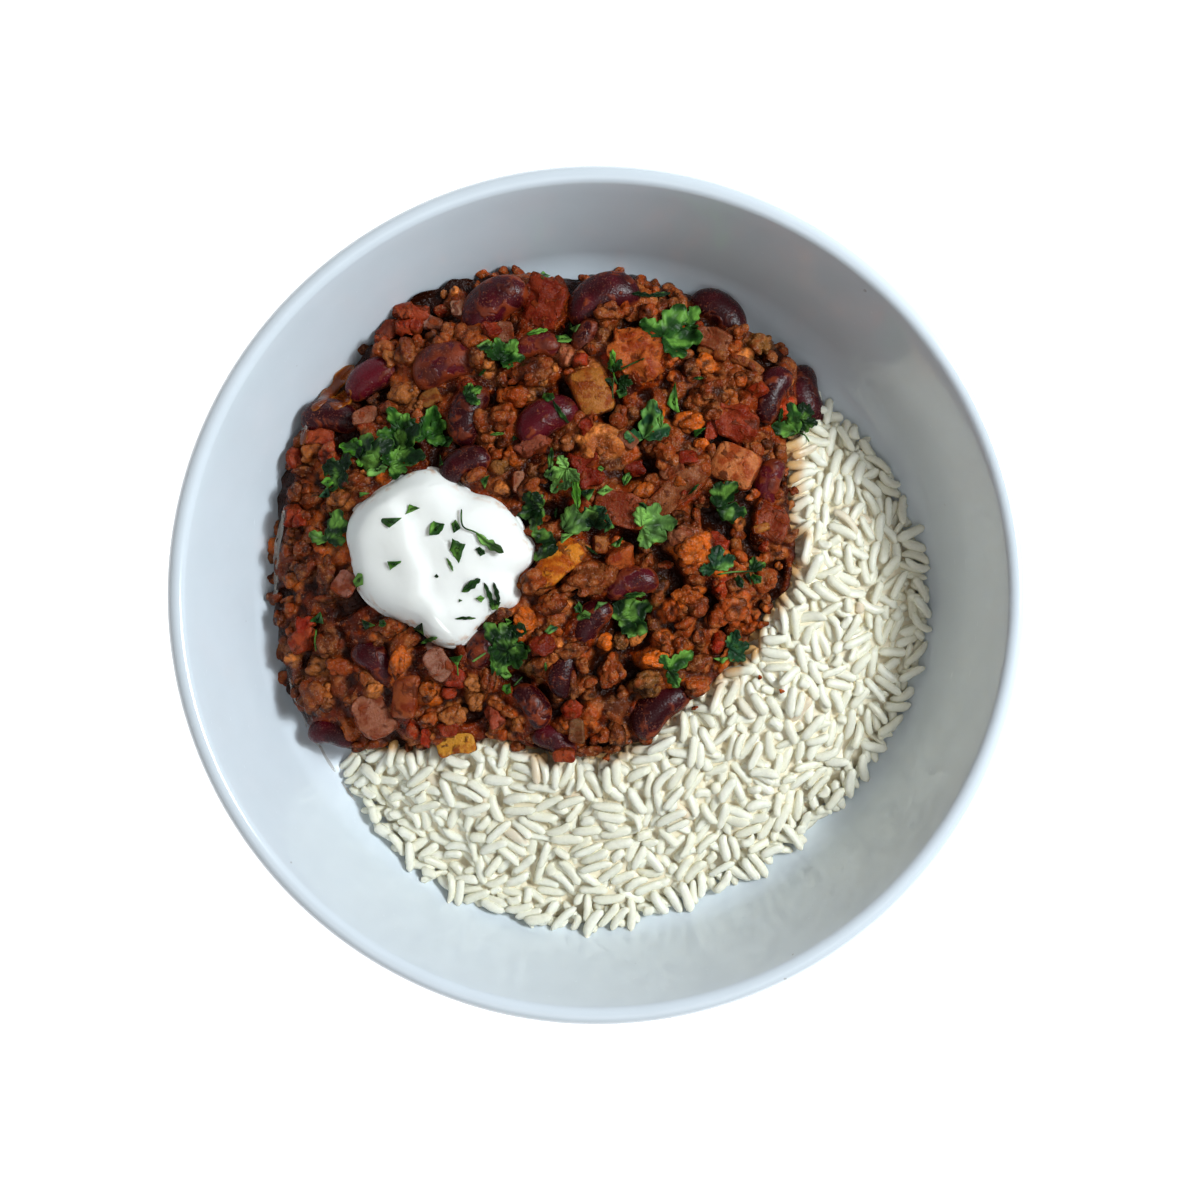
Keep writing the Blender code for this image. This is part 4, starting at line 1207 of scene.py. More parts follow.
def makeBedLevels():
    # the bed's surface on a fine grid: sauce, and the mince that lies in it
    levels = Levels(lambda x, y: chiliTop(x, y) - chili["bedSunk"], 0.3)
    x, y = levels.x, levels.y
    near = pastChili(x, y) < 3
    reach = fromChili(x, y) / chiliRadius(x, y)
    calm = 0.35 + 0.65 * softStep((1 - reach) * 12)
    levels.top[near] += (bedRelief(x[near], y[near]) * calm[near]) + fillet(x[near], y[near])
    base = levels.top.copy()
    meat = np.zeros(x.shape)
    tint = np.zeros((*x.shape, 3))
    chance = np.random.default_rng(chili["seed"])
    for centreX, centreY, length, width, heading, tone, steep in sunkenLumps(chance):
        count = int(length * width * 0.785 / 1.5) + 4
        outward = np.sqrt(chance.uniform(0, 1, count))
        turn = chance.uniform(0, math.tau, count)
        wobble = 1 + 0.25 * np.sin(turn * 3 + chance.uniform(0, 6))
        s = outward * np.cos(turn) * length / 2 * wobble
        t = outward * np.sin(turn) * width / 2 * wobble
        a = math.radians(heading)
        spotX = centreX + s * math.cos(a) - t * math.sin(a)
        spotY = centreY + s * math.sin(a) + t * math.cos(a)
        radius = chance.uniform(*chili["grainSize"], count)
        top = levels.at(spotX, spotY, base) + width * steep * np.sqrt(1 - outward**2)
        top = top + chance.uniform(-0.3, 0.5, count)
        shade = chance.uniform(0.75, 1.3, count) * chance.uniform(0.6, 1.5)
        for curdX, curdY, middle, size, light in zip(spotX, spotY, top - radius, radius, shade):
            window = levels.window(curdX, curdY, size, 1)
            far = (x[window] - curdX) ** 2 + (y[window] - curdY) ** 2
            hump = middle + np.sqrt(np.maximum(size * size - far, 0))
            higher = (hump > levels.top[window]) & (far < size * size)
            levels.top[window] = np.where(higher, hump, levels.top[window])
            meat[window] = np.where(higher, 1, meat[window])
            tint[window] = np.where(higher[..., None], np.array(tone) * light, tint[window])
    # sauce lies between the curds and laps the foot of each lump
    (fineReach, fineSunk), (wideReach, wideSunk) = chili["lapping"]
    lapped = blurred(levels.top, wideReach) - wideSunk - 0.5 * flatBumps(x, y, 9, 83)
    lapped = np.maximum(blurred(levels.top, fineReach) - fineSunk, lapped)
    cover = softStep((lapped - levels.top) / 0.3)
    levels.top = np.maximum(levels.top, lapped)
    meat = meat * (1 - 0.9 * cover)
    levels.top = blurred(levels.top, 0.6) + 0.08 * flatBumps(x, y, 0.9, 47)
    # painted shade in the creases, the wide hollows and the pits of the bed
    near = softStep((blurred(levels.top, 5) - levels.top + 0.10) / 0.8)
    wide = softStep((blurred(levels.top, 14) - levels.top - 0.15) / 1.3)
    paintedHollowShade = 1 - (1 - near * 0.85) * (1 - wide) * (1 - 0.9 * pits(x, y))
    return levels, blurred(meat, 0.8), blurred(tint, 0.7), paintedHollowShade


def makeBed(look):
    levels, meat, tint, paintedHollowShade = makeBedLevels()
    cells = chili["cells"]
    step = np.linspace(-1, 1, cells + 1)
    u, v = np.meshgrid(step, step, indexing="ij")
    across, up = u * np.sqrt(1 - v * v / 2), v * np.sqrt(1 - u * u / 2)
    reach = np.hypot(across, up)
    centreX, centreY = heap["chiliCentre"]
    radius = chiliRadius(centreX + across, centreY + up)
    edge = centreX + across * radius, centreY + up * radius
    ragged = 0.020 * flatBumps(*edge, 6, 8) + 0.012 * flatBumps(*edge, 2.6, 9) - 0.012
    ragged = 1 + ragged * reach**6
    x, y = centreX + across * radius * ragged, centreY + up * radius * ragged
    points = np.stack([x, y, levels.at(x, y)], -1).reshape(-1, 3)
    rows = cells + 1
    border = borderOf(rows, rows)
    points, faces = under(points, gridFaces(rows, rows), border, aboveBowl(1.0), 0.05)

    def sampled(field, rest):
        values = levels.at(x, y, field).ravel()
        return np.concatenate([values, np.full(len(points) - len(values), rest)])

    tint = np.stack([sampled(tint[..., k], 0.1) for k in range(3)], -1)
    mask = sampled(meat, 0)
    tint /= np.maximum(mask, 0.25)[:, None]
    fields = {"tint": tint, "paintedHollowShade": sampled(paintedHollowShade, 1), "sauce": 1 - np.clip(mask, 0, 1)}
    part = outwards((points, faces, fields | {"paintedShade": deepness(points)}))
    piece = addPiece("chiliBed", part, look, "chili", "chili")
    flat = piece.data.uv_layers.new(name="OFBake")
    index = np.empty(len(piece.data.loops), np.int32)
    piece.data.loops.foreach_get("vertex_index", index)
    spot = np.full((len(points), 2), 0.5)
    spot[: u.size] = np.stack([u.ravel(), v.ravel()], -1) * 0.49 + 0.5
    for ring in range(2):
        spot[u.size + ring * len(border) : u.size + (ring + 1) * len(border)] = spot[border]
    flat.data.foreach_set("uv", spot[index].ravel().astype(np.float32))
    return part


def looseMince(levels, ground):
    # the lumps and crumbs that stand out of the bed, and the tone of each
    chance = np.random.default_rng(chili["seed"] + 1)
    rows, names = [], []
    for x, y, length, width, heading, tone in minceRows:
        height = min(length, width) * 0.86 + 0.7
        level = levels.spot(x, y, ground) + height * 0.04
        rows.append((x, y, level, length * 1.12, width * 1.12, height, heading))
        names.append(tone)
    taken = [(row[0], row[1], (row[3] + row[4]) / 4) for row in rows]
    kinds = chili["looseKinds"]
    # more along the chili's edge, where the heap ends in crumbs
    edge = spread(chili["edgeTries"], (2.4, 5), 0.75, list(taken), chance, 0.6, -0.2)
    edge = [spot for spot in edge if pastChili(spot[0], spot[1]) > -4.5]
    taken += [(x, y, size / 2) for x, y, size in edge]
    inner = spread(chili["looseTries"], (2.2, 5.4), 0.95, taken, chance, -3, -0.2)
    inner = [spot for spot in inner if pits(np.array(spot[0]), np.array(spot[1])) < 0.4]
    for x, y, size in edge + inner:
        height = size * chance.uniform(0.75, 1.0)
        level = levels.spot(x, y, ground) + height * chance.uniform(-0.08, 0.18)
        length, heading = size * chance.uniform(1.0, 1.45), chance.uniform(0, 180)
        rows.append((x, y, level, length, size, height, heading))
        names.append(kinds[chance.integers(len(kinds))])
    print("mince lumps:", len(minceRows), "edge crumbs:", len(edge), "inner crumbs:", len(inner))
    return np.array(rows), np.array(names)


minceLook = minceFinish()
bedPart = makeBed(minceLook)
foodLevels = Levels(aboveBowl(0))
foodLevels.top = np.maximum(riceLevels.top, foodLevels.top)
foodLevels.lay(bedPart)
rows, names = looseMince(foodLevels, blurred(foodLevels.top, 1.2))
girth = rows[:, 3:5].mean(axis=1)
# by mean width from and to, with the fineness of each and how many grains it is made of
for pieceName, low, high, splits, knobs in (
    ("minceLumps", 6.2, 99, 16, 20), ("minceCrumbs", 4.3, 6.2, 10, 12), ("minceBits", 0, 4.3, 6, 8),
):
    chosen = (girth >= low) & (girth < high)
    part = tinted(rows[chosen], names[chosen], splits, knobs, 61 + splits)
    addPiece(pieceName, part, minceLook, "chili")
    foodLevels.lay(part)


beans = {
    "splits": 10,
    "widthRatio": 0.60,
    "thicknessRatio": 0.50,
    "bendRatio": 0.075,
    "hollowRatio": 0.055,  # depth of the hollow on the inner side
    "unevenness": 0.022,
    "bluntness": 0.82,
    "sunk": 1.3,
    "skin": (0.026, 0.0012, 0.0026),
    "lit": (0.095, 0.0042, 0.0100),
    # beans that the sauce lies over, by their number, and how far
    "covered": {3: 1.0, 4: 0.35, 6: 0.5, 8: 0.8, 10: 0.9, 14: 0.6, 18: 0.8, 19: 0.5, 22: 0.4},
    "barelyCovered": 0.12,  # the same for all the others
}


def beanMesh(length, seed):
    chance = np.random.default_rng(seed)
    aim, faces = ballMesh(beans["splits"])
    blunt = beans["bluntness"]
    s = np.sign(aim[:, 0]) * np.abs(aim[:, 0]) ** blunt
    around = np.hypot(aim[:, 1], aim[:, 2])
    fullness = np.maximum(around, 1e-6) ** blunt
    side, up = (aim[:, axis] / np.maximum(around, 1e-6) * fullness for axis in (1, 2))
    width = length * beans["widthRatio"] / 2 * (1 + chance.normal(0, 0.03))
    thick = length * beans["thicknessRatio"] / 2
    swell = 1 + chance.uniform(-0.09, 0.09) * s
    bend = length * beans["bendRatio"] * chance.uniform(0.85, 1.15)
    x = s * length / 2
    y = side * width * swell - bend * (s**2 - 0.35)
    # the hollow on the inner side, and the small scar in it
    y = y + beans["hollowRatio"] * length * np.exp(-((s / 0.42) ** 2)) * np.maximum(-side, 0) ** 2
    z = up * thick * swell
    points = np.stack([x, y, z], 1)
    points *= 1 + beans["unevenness"] * bumps(points + seed * 9.7, 5.5, seed)[:, None]
    scar = np.exp(-((s / 0.17) ** 2) - ((up / 0.30) ** 2)) * (side < 0)
    # how near the underside a point is, for the sauce and for painted shade
    low = softStep((0.62 - up) / 0.6)
    return points, faces, {"scar": scar, "tone": chance.random(), "low": low}


def makeBeans():
    parts = []
    names = namesOf("kidney_bean", beanRows)
    for number, (name, (heading, length)) in enumerate(zip(names, beanRows), 1):
        points, faces, fields = beanMesh(length, number)
        chance = np.random.default_rng(899 + number)
        fields["covered"] = beans["covered"].get(number, beans["barelyCovered"])
        tip = chance.normal(0, 5), chance.normal(0, 9)
        centre = centreOf(name) - (0, 0, beans["sunk"])
        parts.append(setDown(points, faces, centre, heading, fields, tip))
    part = joined(parts)
    addPiece("kidneyBeans", part, beanFinish(), "kidney_bean", *names)
    return part


def beanFinish():
    made, shader, start = newFinish("beanSkin", ior=1.45, specular=0.32)
    tone, scar, low = start.field("tone"), start.field("scar"), start.field("low")
    covered = start.field("covered")
    cloud = start.noise(6, 2)
    fine = start.noise(0.55, 2, 0.6)
    skin = (cloud * 0.6 + tone * 0.4).between(0.3, 0.7).mix(beans["skin"], beans["lit"])
    skin = (scar * 0.7).mix(skin, (0.20, 0.075, 0.05))
    # painted shade on the underside of each bean
    skin = (low * 0.6).mix(skin, (0.022, 0.0022, 0.0035))
    # sauce clings low on the skin, and in spots further up
    smear = (start.noise(3.4, 2, distortion=0.5) + low * 0.22 + covered * 0.22).between(0.58, 0.72)
    specks = fine.between(0.58, 0.68) * (start.noise(4.5, 2) + low * 0.12).between(0.44, 0.60)
    sauce = cloud.between(0.35, 0.65).mix((0.075, 0.009, 0.002), (0.24, 0.036, 0.006))
    skin = (smear * 0.85).mix(skin, sauce)
    skin = (specks * 0.55).mix(skin, (0.36, 0.085, 0.03))
    plug(
        start, shader, colour=skin, roughness=0.20 + smear * 0.14 + fine * 0.14,
        normal=start.bump(smear * 0.7 + fine * 0.5 + specks * 0.4, 0.30, 0.9),
    )
    return made


beanPart = makeBeans()
foodLevels.lay(beanPart)


def chunkMesh(length, width, thick, splits, bluntness, lump, lumpWidth, seed, curl=0.0):
    # a cut piece with rounded corners, uneven faces and an optional curl
    aim, faces = ballMesh(splits)
    box = np.sign(aim) * np.abs(aim) ** bluntness
    points = box * (length / 2, width / 2, thick / 2)
    chance = np.random.default_rng(seed)
    points[:, 0] += points[:, 1] * chance.normal(0, 0.12)
    points[:, 1] *= 1 + chance.normal(0, 0.12) * aim[:, 0]
    points[:, 2] += curl * ((points[:, 0] / length * 2) ** 2 + (points[:, 1] / width * 2) ** 2 - 0.7)
    grow = wander(points + seed * 3.3, lumpWidth, seed)
    fine = wander(points + seed * 3.3, lumpWidth * 0.42, seed + 5)
    return points + grow * lump + fine * lump * 0.4, faces, softStep((0.66 - aim[:, 2]) / 0.7)


# further bits of each: x, y, length, width, thickness, heading, tint
pepperBits = [
    (-44.5, 52.5, 6, 4.6, 2.6, 30, (0.40, 0.15, 0.035)), (29.4, 66, 5, 2.8, 2.4, -20, (0.42, 0.13, 0.03)),
    (33.6, 64.3, 5.4, 2.8, 2.4, -18, (0.42, 0.13, 0.03)),
    (38, 63.2, 5.4, 2.8, 2.4, -15, (0.38, 0.11, 0.03)), (42.4, 61.2, 5, 2.8, 2.4, -40, (0.40, 0.12, 0.03)),
    (0.8, 13.5, 5, 4, 2.6, 90, (0.42, 0.13, 0.03)), (44, 18, 5, 2.2, 2, 10, (0.52, 0.18, 0.03)),
]
tomatoBits = [
    (-52, 76.5, 6, 5, 4, 20, (0.42, 0.07, 0.02)), (-48, 76, 5.4, 4.6, 4, 0, (0.42, 0.06, 0.02)),
    (-57, 72, 6, 5, 4, 40, (0.30, 0.06, 0.025)), (-51.5, 72, 5, 4.4, 3.6, 0, (0.46, 0.055, 0.014)),
    (-48.5, 73, 4, 3.6, 3, 60, (0.40, 0.05, 0.014)), (-58, 68.8, 4.4, 4, 3, 0, (0.42, 0.07, 0.02)),
    (-28.5, 70.5, 5, 4, 3, 20, (0.34, 0.04, 0.012)), (-4.5, 62, 4.6, 3.6, 3, 10, (0.50, 0.05, 0.012)),
    (28, 70.5, 7, 3, 3, 90, (0.40, 0.06, 0.02)), (43, 55, 5, 4, 3, 30, (0.50, 0.07, 0.016)),
    (-75, 42.5, 9, 4, 3, 10, (0.42, 0.065, 0.02)), (-82, 37.5, 5, 4, 3, 90, (0.40, 0.06, 0.02)),
    (-82, 21.5, 6, 5, 4, 90, (0.38, 0.05, 0.015)), (-80, 20, 4, 3.4, 3, 0, (0.38, 0.05, 0.015)),
    (-17, 39.5, 10, 4.4, 3.4, 20, (0.42, 0.105, 0.055)), (6, 10, 8, 6, 4.4, 20, (0.50, 0.10, 0.02)),
    (33, 14.5, 7, 2.8, 2.4, -45, (0.42, 0.04, 0.012)), (10, 34, 5, 4.6, 3, 0, (0.24, 0.02, 0.008)),
    (-79, -8, 6, 4, 3.4, 10, (0.48, 0.045, 0.012)), (-79.5, -12.5, 8, 6, 4.4, 20, (0.46, 0.07, 0.02)),
    (-46, -38.5, 5, 3.2, 2.6, 80, (0.55, 0.05, 0.01)), (-38, -21, 8, 7, 4, 80, (0.40, 0.04, 0.012)),
    (-40, -26, 4, 3.6, 3, 0, (0.44, 0.05, 0.014)), (-39.5, -35.5, 5, 4, 3, 20, (0.42, 0.06, 0.02)),
    (-28, -32, 9, 3.6, 3, -65, (0.46, 0.085, 0.04)), (-7, -31, 6, 5, 3.4, 30, (0.40, 0.045, 0.014)),
    (-9, -43, 5, 3.4, 3, 10, (0.44, 0.07, 0.02)), (32.5, -13, 6, 4, 3, 90, (0.55, 0.045, 0.012)),
    (-14, -13, 7, 5.4, 3, 20, (0.30, 0.035, 0.012)), (30.5, 44, 5.6, 4.4, 3, 60, (0.44, 0.05, 0.016)),
    (24, 36.5, 5, 4, 3, 20, (0.36, 0.035, 0.012)), (-3, 45, 5, 4, 3, 40, (0.36, 0.035, 0.012)),
]
onionBits = [
    (-45, 73.5, 7, 4, 2.4, -20, (0.44, 0.22, 0.16)), (-24.5, 69, 8, 5, 2.6, 90, (0.34, 0.12, 0.06)),
    (-37, 77, 5, 4, 2.2, 10, (0.40, 0.19, 0.12)), (-62, 48, 7, 4, 2.6, 20, (0.36, 0.12, 0.06)),
    (-67, 3, 7, 6, 2.8, 60, (0.36, 0.13, 0.09)), (-21, 30, 6, 3.5, 2.4, 90, (0.38, 0.14, 0.07)),
    (-44, -16, 8, 5, 2.8, 80, (0.46, 0.24, 0.19)), (-5.5, -36, 7, 4, 2.6, 90, (0.24, 0.11, 0.045)),
    (20, 33, 7, 4.4, 2.4, 30, (0.40, 0.13, 0.06)), (8, 41, 6, 4, 2.4, -40, (0.36, 0.12, 0.06)),
]


vegetables = {
    "tomato": {
        "piece": "tomatoPieces", "finish": "stewedTomato", "rows": tomatoRows, "bits": tomatoBits,
        "tints": [
            (0.20, 0.022, 0.006), (0.40, 0.085, 0.014), (0.20, 0.018, 0.006), (0.28, 0.038, 0.012),
        ],
        "shine": 0.17, "striped": False, "pulpy": 0.6,
        "bluntness": 0.62, "lump": 1.5, "lumpWidth": 3.2, "curl": 0.2,
    },
    "onion": {
        "piece": "onionPieces", "finish": "softOnion", "rows": onionRows, "bits": onionBits,
        "tints": [
            (0.26, 0.08, 0.028), (0.28, 0.095, 0.05), (0.26, 0.055, 0.022), (0.26, 0.05, 0.020),
            (0.24, 0.075, 0.030), (0.26, 0.11, 0.07),
        ],
        "shine": 0.15, "striped": True, "pulpy": 0.25,
        "bluntness": 0.50, "lump": 0.7, "lumpWidth": 3.8, "curl": 0.9,
    },
    "pepper": {
        "piece": "pepperPieces", "finish": "softPepper", "rows": pepperRows, "bits": pepperBits,
        "tints": [
            (0.36, 0.12, 0.018), (0.62, 0.20, 0.016), (0.58, 0.25, 0.03), (0.26, 0.055, 0.014),
            (0.50, 0.15, 0.045),
        ],
        "shine": 0.13, "striped": False, "pulpy": 0.25,
        "bluntness": 0.36, "lump": 0.5, "lumpWidth": 3.4, "curl": -0.4,
    },
}
vegetableSunk = 0.7
bitShade = 0.68  # how dark the small bits are beside the tints in their rows


def makeVegetable(kind, look):
    parts = []
    names = namesOf(kind, look["rows"])
    for number, (name, row, tint) in enumerate(zip(names, look["rows"], look["tints"])):
        centre = centreOf(name) - (0, 0, vegetableSunk)
        parts.append(makeChunk(look, row[1:], row[0], 12, 1, 70 + number, tint, centre))
    for number, (x, y, length, width, thick, heading, tint) in enumerate(look["bits"]):
        centre = x, y, foodLevels.spot(x, y, smoothTop) + thick * 0.22
        tint = np.array(tint) * bitShade
        parts.append(makeChunk(look, (length, width, thick), heading, 7, 0.6, 170 + number, tint, centre))
    part = joined(parts)
    finish = vegetableFinish(look["finish"], look["shine"], look["striped"], look["pulpy"])
    addPiece(look["piece"], part, finish, kind, *names)
    return part


def makeChunk(look, size, heading, splits, share, seed, tint, centre):
    # a whole piece where the share is 1, and a small bit with less relief where it is lower
    lump, curl = look["lump"] * share, look["curl"] * share
    lumpWidth = look["lumpWidth"] if share == 1 else look["lumpWidth"] * 0.7
    points, faces, low = chunkMesh(*size, splits, look["bluntness"], lump, lumpWidth, seed, curl)
    chance = np.random.default_rng(230 + seed)
    tip = chance.normal(0, 6 if share == 1 else 12, 2)
    fields = {"tint": tint, "along": points[:, 0], "low": low}
    return setDown(points, faces, centre, heading, fields, tip)


def vegetableFinish(name, shine, striped, pulpy):
    made, shader, start = newFinish(
        name, ior=1.42, specular=0.17, subsurface=0.3, subsurfaceRadius=(1, 0.4, 0.12),
        subsurfaceScale=0.002,
    )
    tint, low = start.field("tint", 1), start.field("low")
    patch = start.noise(3.4, 2)
    fine = start.noise(0.6, 2, 0.6)
    shaded = start.mix(tint, (0.62, 0.34, 0.22), 1.0, "MULTIPLY")
    body = patch.between(0.42, 0.62).mix(tint, shaded)
    if striped:
        wave = start.field("along") * 5.0 + patch * 9
        line = start.node("ShaderNodeMath", {"operation": "SINE"}, {0: wave})
        body = (line.between(0.1, 1.0) * 0.30).mix(body, (0.20, 0.06, 0.02))
    body = (fine.between(0.52, 0.70) * pulpy).mix(body, (0.16, 0.03, 0.008))
    # sauce creeps up the sides and lies over the top in patches
    smear = (start.noise(2.6, 2, distortion=0.4) + low * 0.20).between(0.54, 0.66)
    sauce = patch.between(0.4, 0.6).mix((0.075, 0.011, 0.002), (0.22, 0.034, 0.005))
    body = (smear * 0.85).mix(body, sauce)
    plug(
        start, shader, colour=body, roughness=shine + smear * 0.12 + fine * 0.16,
        normal=start.bump(fine * 0.8 + smear * 0.7 + patch * 0.5, 0.48, 0.9),
    )
    return made


smoothTop = blurred(foodLevels.top, 2.2)
for part in [makeVegetable(kind, look) for kind, look in vegetables.items()]:
    foodLevels.lay(part)


# folds in its top: the points a fold runs through, its width and how far it rises
creamFolds = [
    ([(-63, 16), (-58, 22), (-52, 26), (-46, 28)], 3.0, 0.95),
    ([(-55, 23), (-51, 18), (-50, 12), (-47, 6), (-47, 0), (-43, -5)], 2.7, 1.35),
    ([(-44, 27), (-40, 21), (-33, 16), (-27, 14)], 4.5, 0.35),
    ([(-61, 5), (-54, 1), (-49, -5)], 4.0, 0.45),
    ([(-36, 9), (-31, 3), (-25, 2)], 3.4, 0.35),
]


def foldRise(x, y, path, width, rise):
    # steep on one side of the path and easy on the other
    best = np.full_like(x, 1e9)
    side = np.zeros_like(x)
    for (ax, ay), (bx, by) in zip(path[:-1], path[1:]):
        length2 = (bx - ax) ** 2 + (by - ay) ** 2
        t = np.clip(((x - ax) * (bx - ax) + (y - ay) * (by - ay)) / length2, 0, 1)
        gap = np.hypot(x - ax - t * (bx - ax), y - ay - t * (by - ay))
        turn = ((bx - ax) * (y - ay) - (by - ay) * (x - ax)) / math.sqrt(length2)
        closer = gap < best
        best = np.where(closer, gap, best)
        side = np.where(closer, turn, side)
    reach = np.where(side > 0, width, width * 2)
    return rise * np.exp(-((best / reach) ** 2))


def creamLevel(x, y):
    c = cream
    share = np.minimum(np.hypot(x - c["centre"][0], y - c["centre"][1]) / creamRadius(x, y), 1)
    rim = chiliTop(x, y) - c["sunk"]
    middle = float(chiliTop(np.array(c["centre"][0]), np.array(c["centre"][1])))
    crown = middle - c["sunk"] + c["height"] - 0.6
    level = rim + (crown - rim) * np.sqrt(np.maximum(1 - share ** c["flatness"], 0))
    fade = softStep((1 - share) * 5)
    for path, width, rise in creamFolds:
        level = level + fade * foldRise(x, y, path, width, rise)
    waves = c["waves"] * flatBumps(x, y, 12, 71) + c["ripples"] * flatBumps(x, y, 5, 72)
    return level + fade * waves


def makeCream():
    c = cream
    sectors, rings = c["sectors"], c["rings"]
    angle = np.arange(sectors) * math.tau / sectors
    centreX, centreY = c["centre"]
    reach = onCurve(c["outline"], angle / math.tau * len(c["outline"]), closed=True)
    share = np.sin(np.linspace(0, math.pi / 2, rings))[1:, None] * 0.9995
    x = centreX + share * reach * np.cos(angle)
    y = centreY + share * reach * np.sin(angle)
    z = creamLevel(x, y)
    # the belly rolls over the food at the edge, and tucks in under itself
    rimX, rimY, rimZ = x[-1], y[-1], z[-1]
    loops = [np.stack([x, y, z], -1).reshape(-1, 3)]
    for step in range(1, 7):
        a = step / 6 * math.pi * 0.62
        out = c["belly"] * c["bellyOut"] * math.sin(a)
        level = rimZ - c["belly"] * (1 - math.cos(a)) * 1.1
        loops.append(np.stack([rimX + out * np.cos(angle), rimY + out * np.sin(angle), level], -1))
    for inset in (0.9, 0.6):
        ringX, ringY = centreX + (rimX - centreX) * inset, centreY + (rimY - centreY) * inset
        loops.append(np.stack([ringX, ringY, rimZ - c["belly"] * 1.8], -1))
    points = np.concatenate(loops)
    faces = tubeFaces(len(points) // sectors, sectors)
    peak = float(creamLevel(np.array([centreX]), np.array([centreY]))[0])
    ends = [[centreX, centreY, peak], [centreX, centreY, points[-1][2]]]
    points = np.concatenate([points, ends])
    past = pastCream(points[:, 0], points[:, 1])
    edge = softStep((past + 2.6) / 2.6)
    part = outwards((points, faces, {"edge": edge}))
    addPiece("sourCream", part, creamFinish(), "sour_cream", "sour_cream")
    return part


def creamFinish():
    made, shader, start = newFinish(
        "sourCreamFinish", roughness=0.5, ior=1.4, specular=0.35,
        subsurface=0.5, subsurfaceRadius=(1, 0.95, 0.85), subsurfaceScale=0.0022,
    )
    edge = start.field("edge")
    cloud = start.noise(11, 2)
    body = cloud.mix((0.96, 0.975, 0.95), (0.93, 0.94, 0.90))
    seep = (edge * start.noise(3.2, 3).between(0.50, 0.66)) * 0.8
    body = seep.mix(body, (0.66, 0.37, 0.20))
    fine = start.noise(1.4, 2)
    plug(start, shader, colour=body, normal=start.bump(fine * 0.3 + start.noise(5, 2), 0.16, 0.5))
    return made


creamPart = makeCream()
foodLevels.lay(creamPart)


parsley = {
    "thickness": 0.16,
    "rows": 15,
    "columns": 7,
    "toothDepth": 0.42,
    "lift": 0.35,
    "cutLobes": 0.22,  # share of side lobes that the knife has taken off
    "tilt": 0.17,
    "curl": (0.2, 1.3),  # mean and spread
    "fold": (0.5, 1.5),
    "ruffle": 0.085,
    "drape": 0.75,  # how closely a leaf follows the food under it
    "clear": 86,  # per cent of a leaf that clears the food
    "dark": (0.005, 0.024, 0.004),
    "mid": (0.016, 0.068, 0.007),
    "vivid": (0.055, 0.19, 0.010),
    "pale": (0.11, 0.24, 0.055),
    "blue": (0.014, 0.066, 0.024),
}

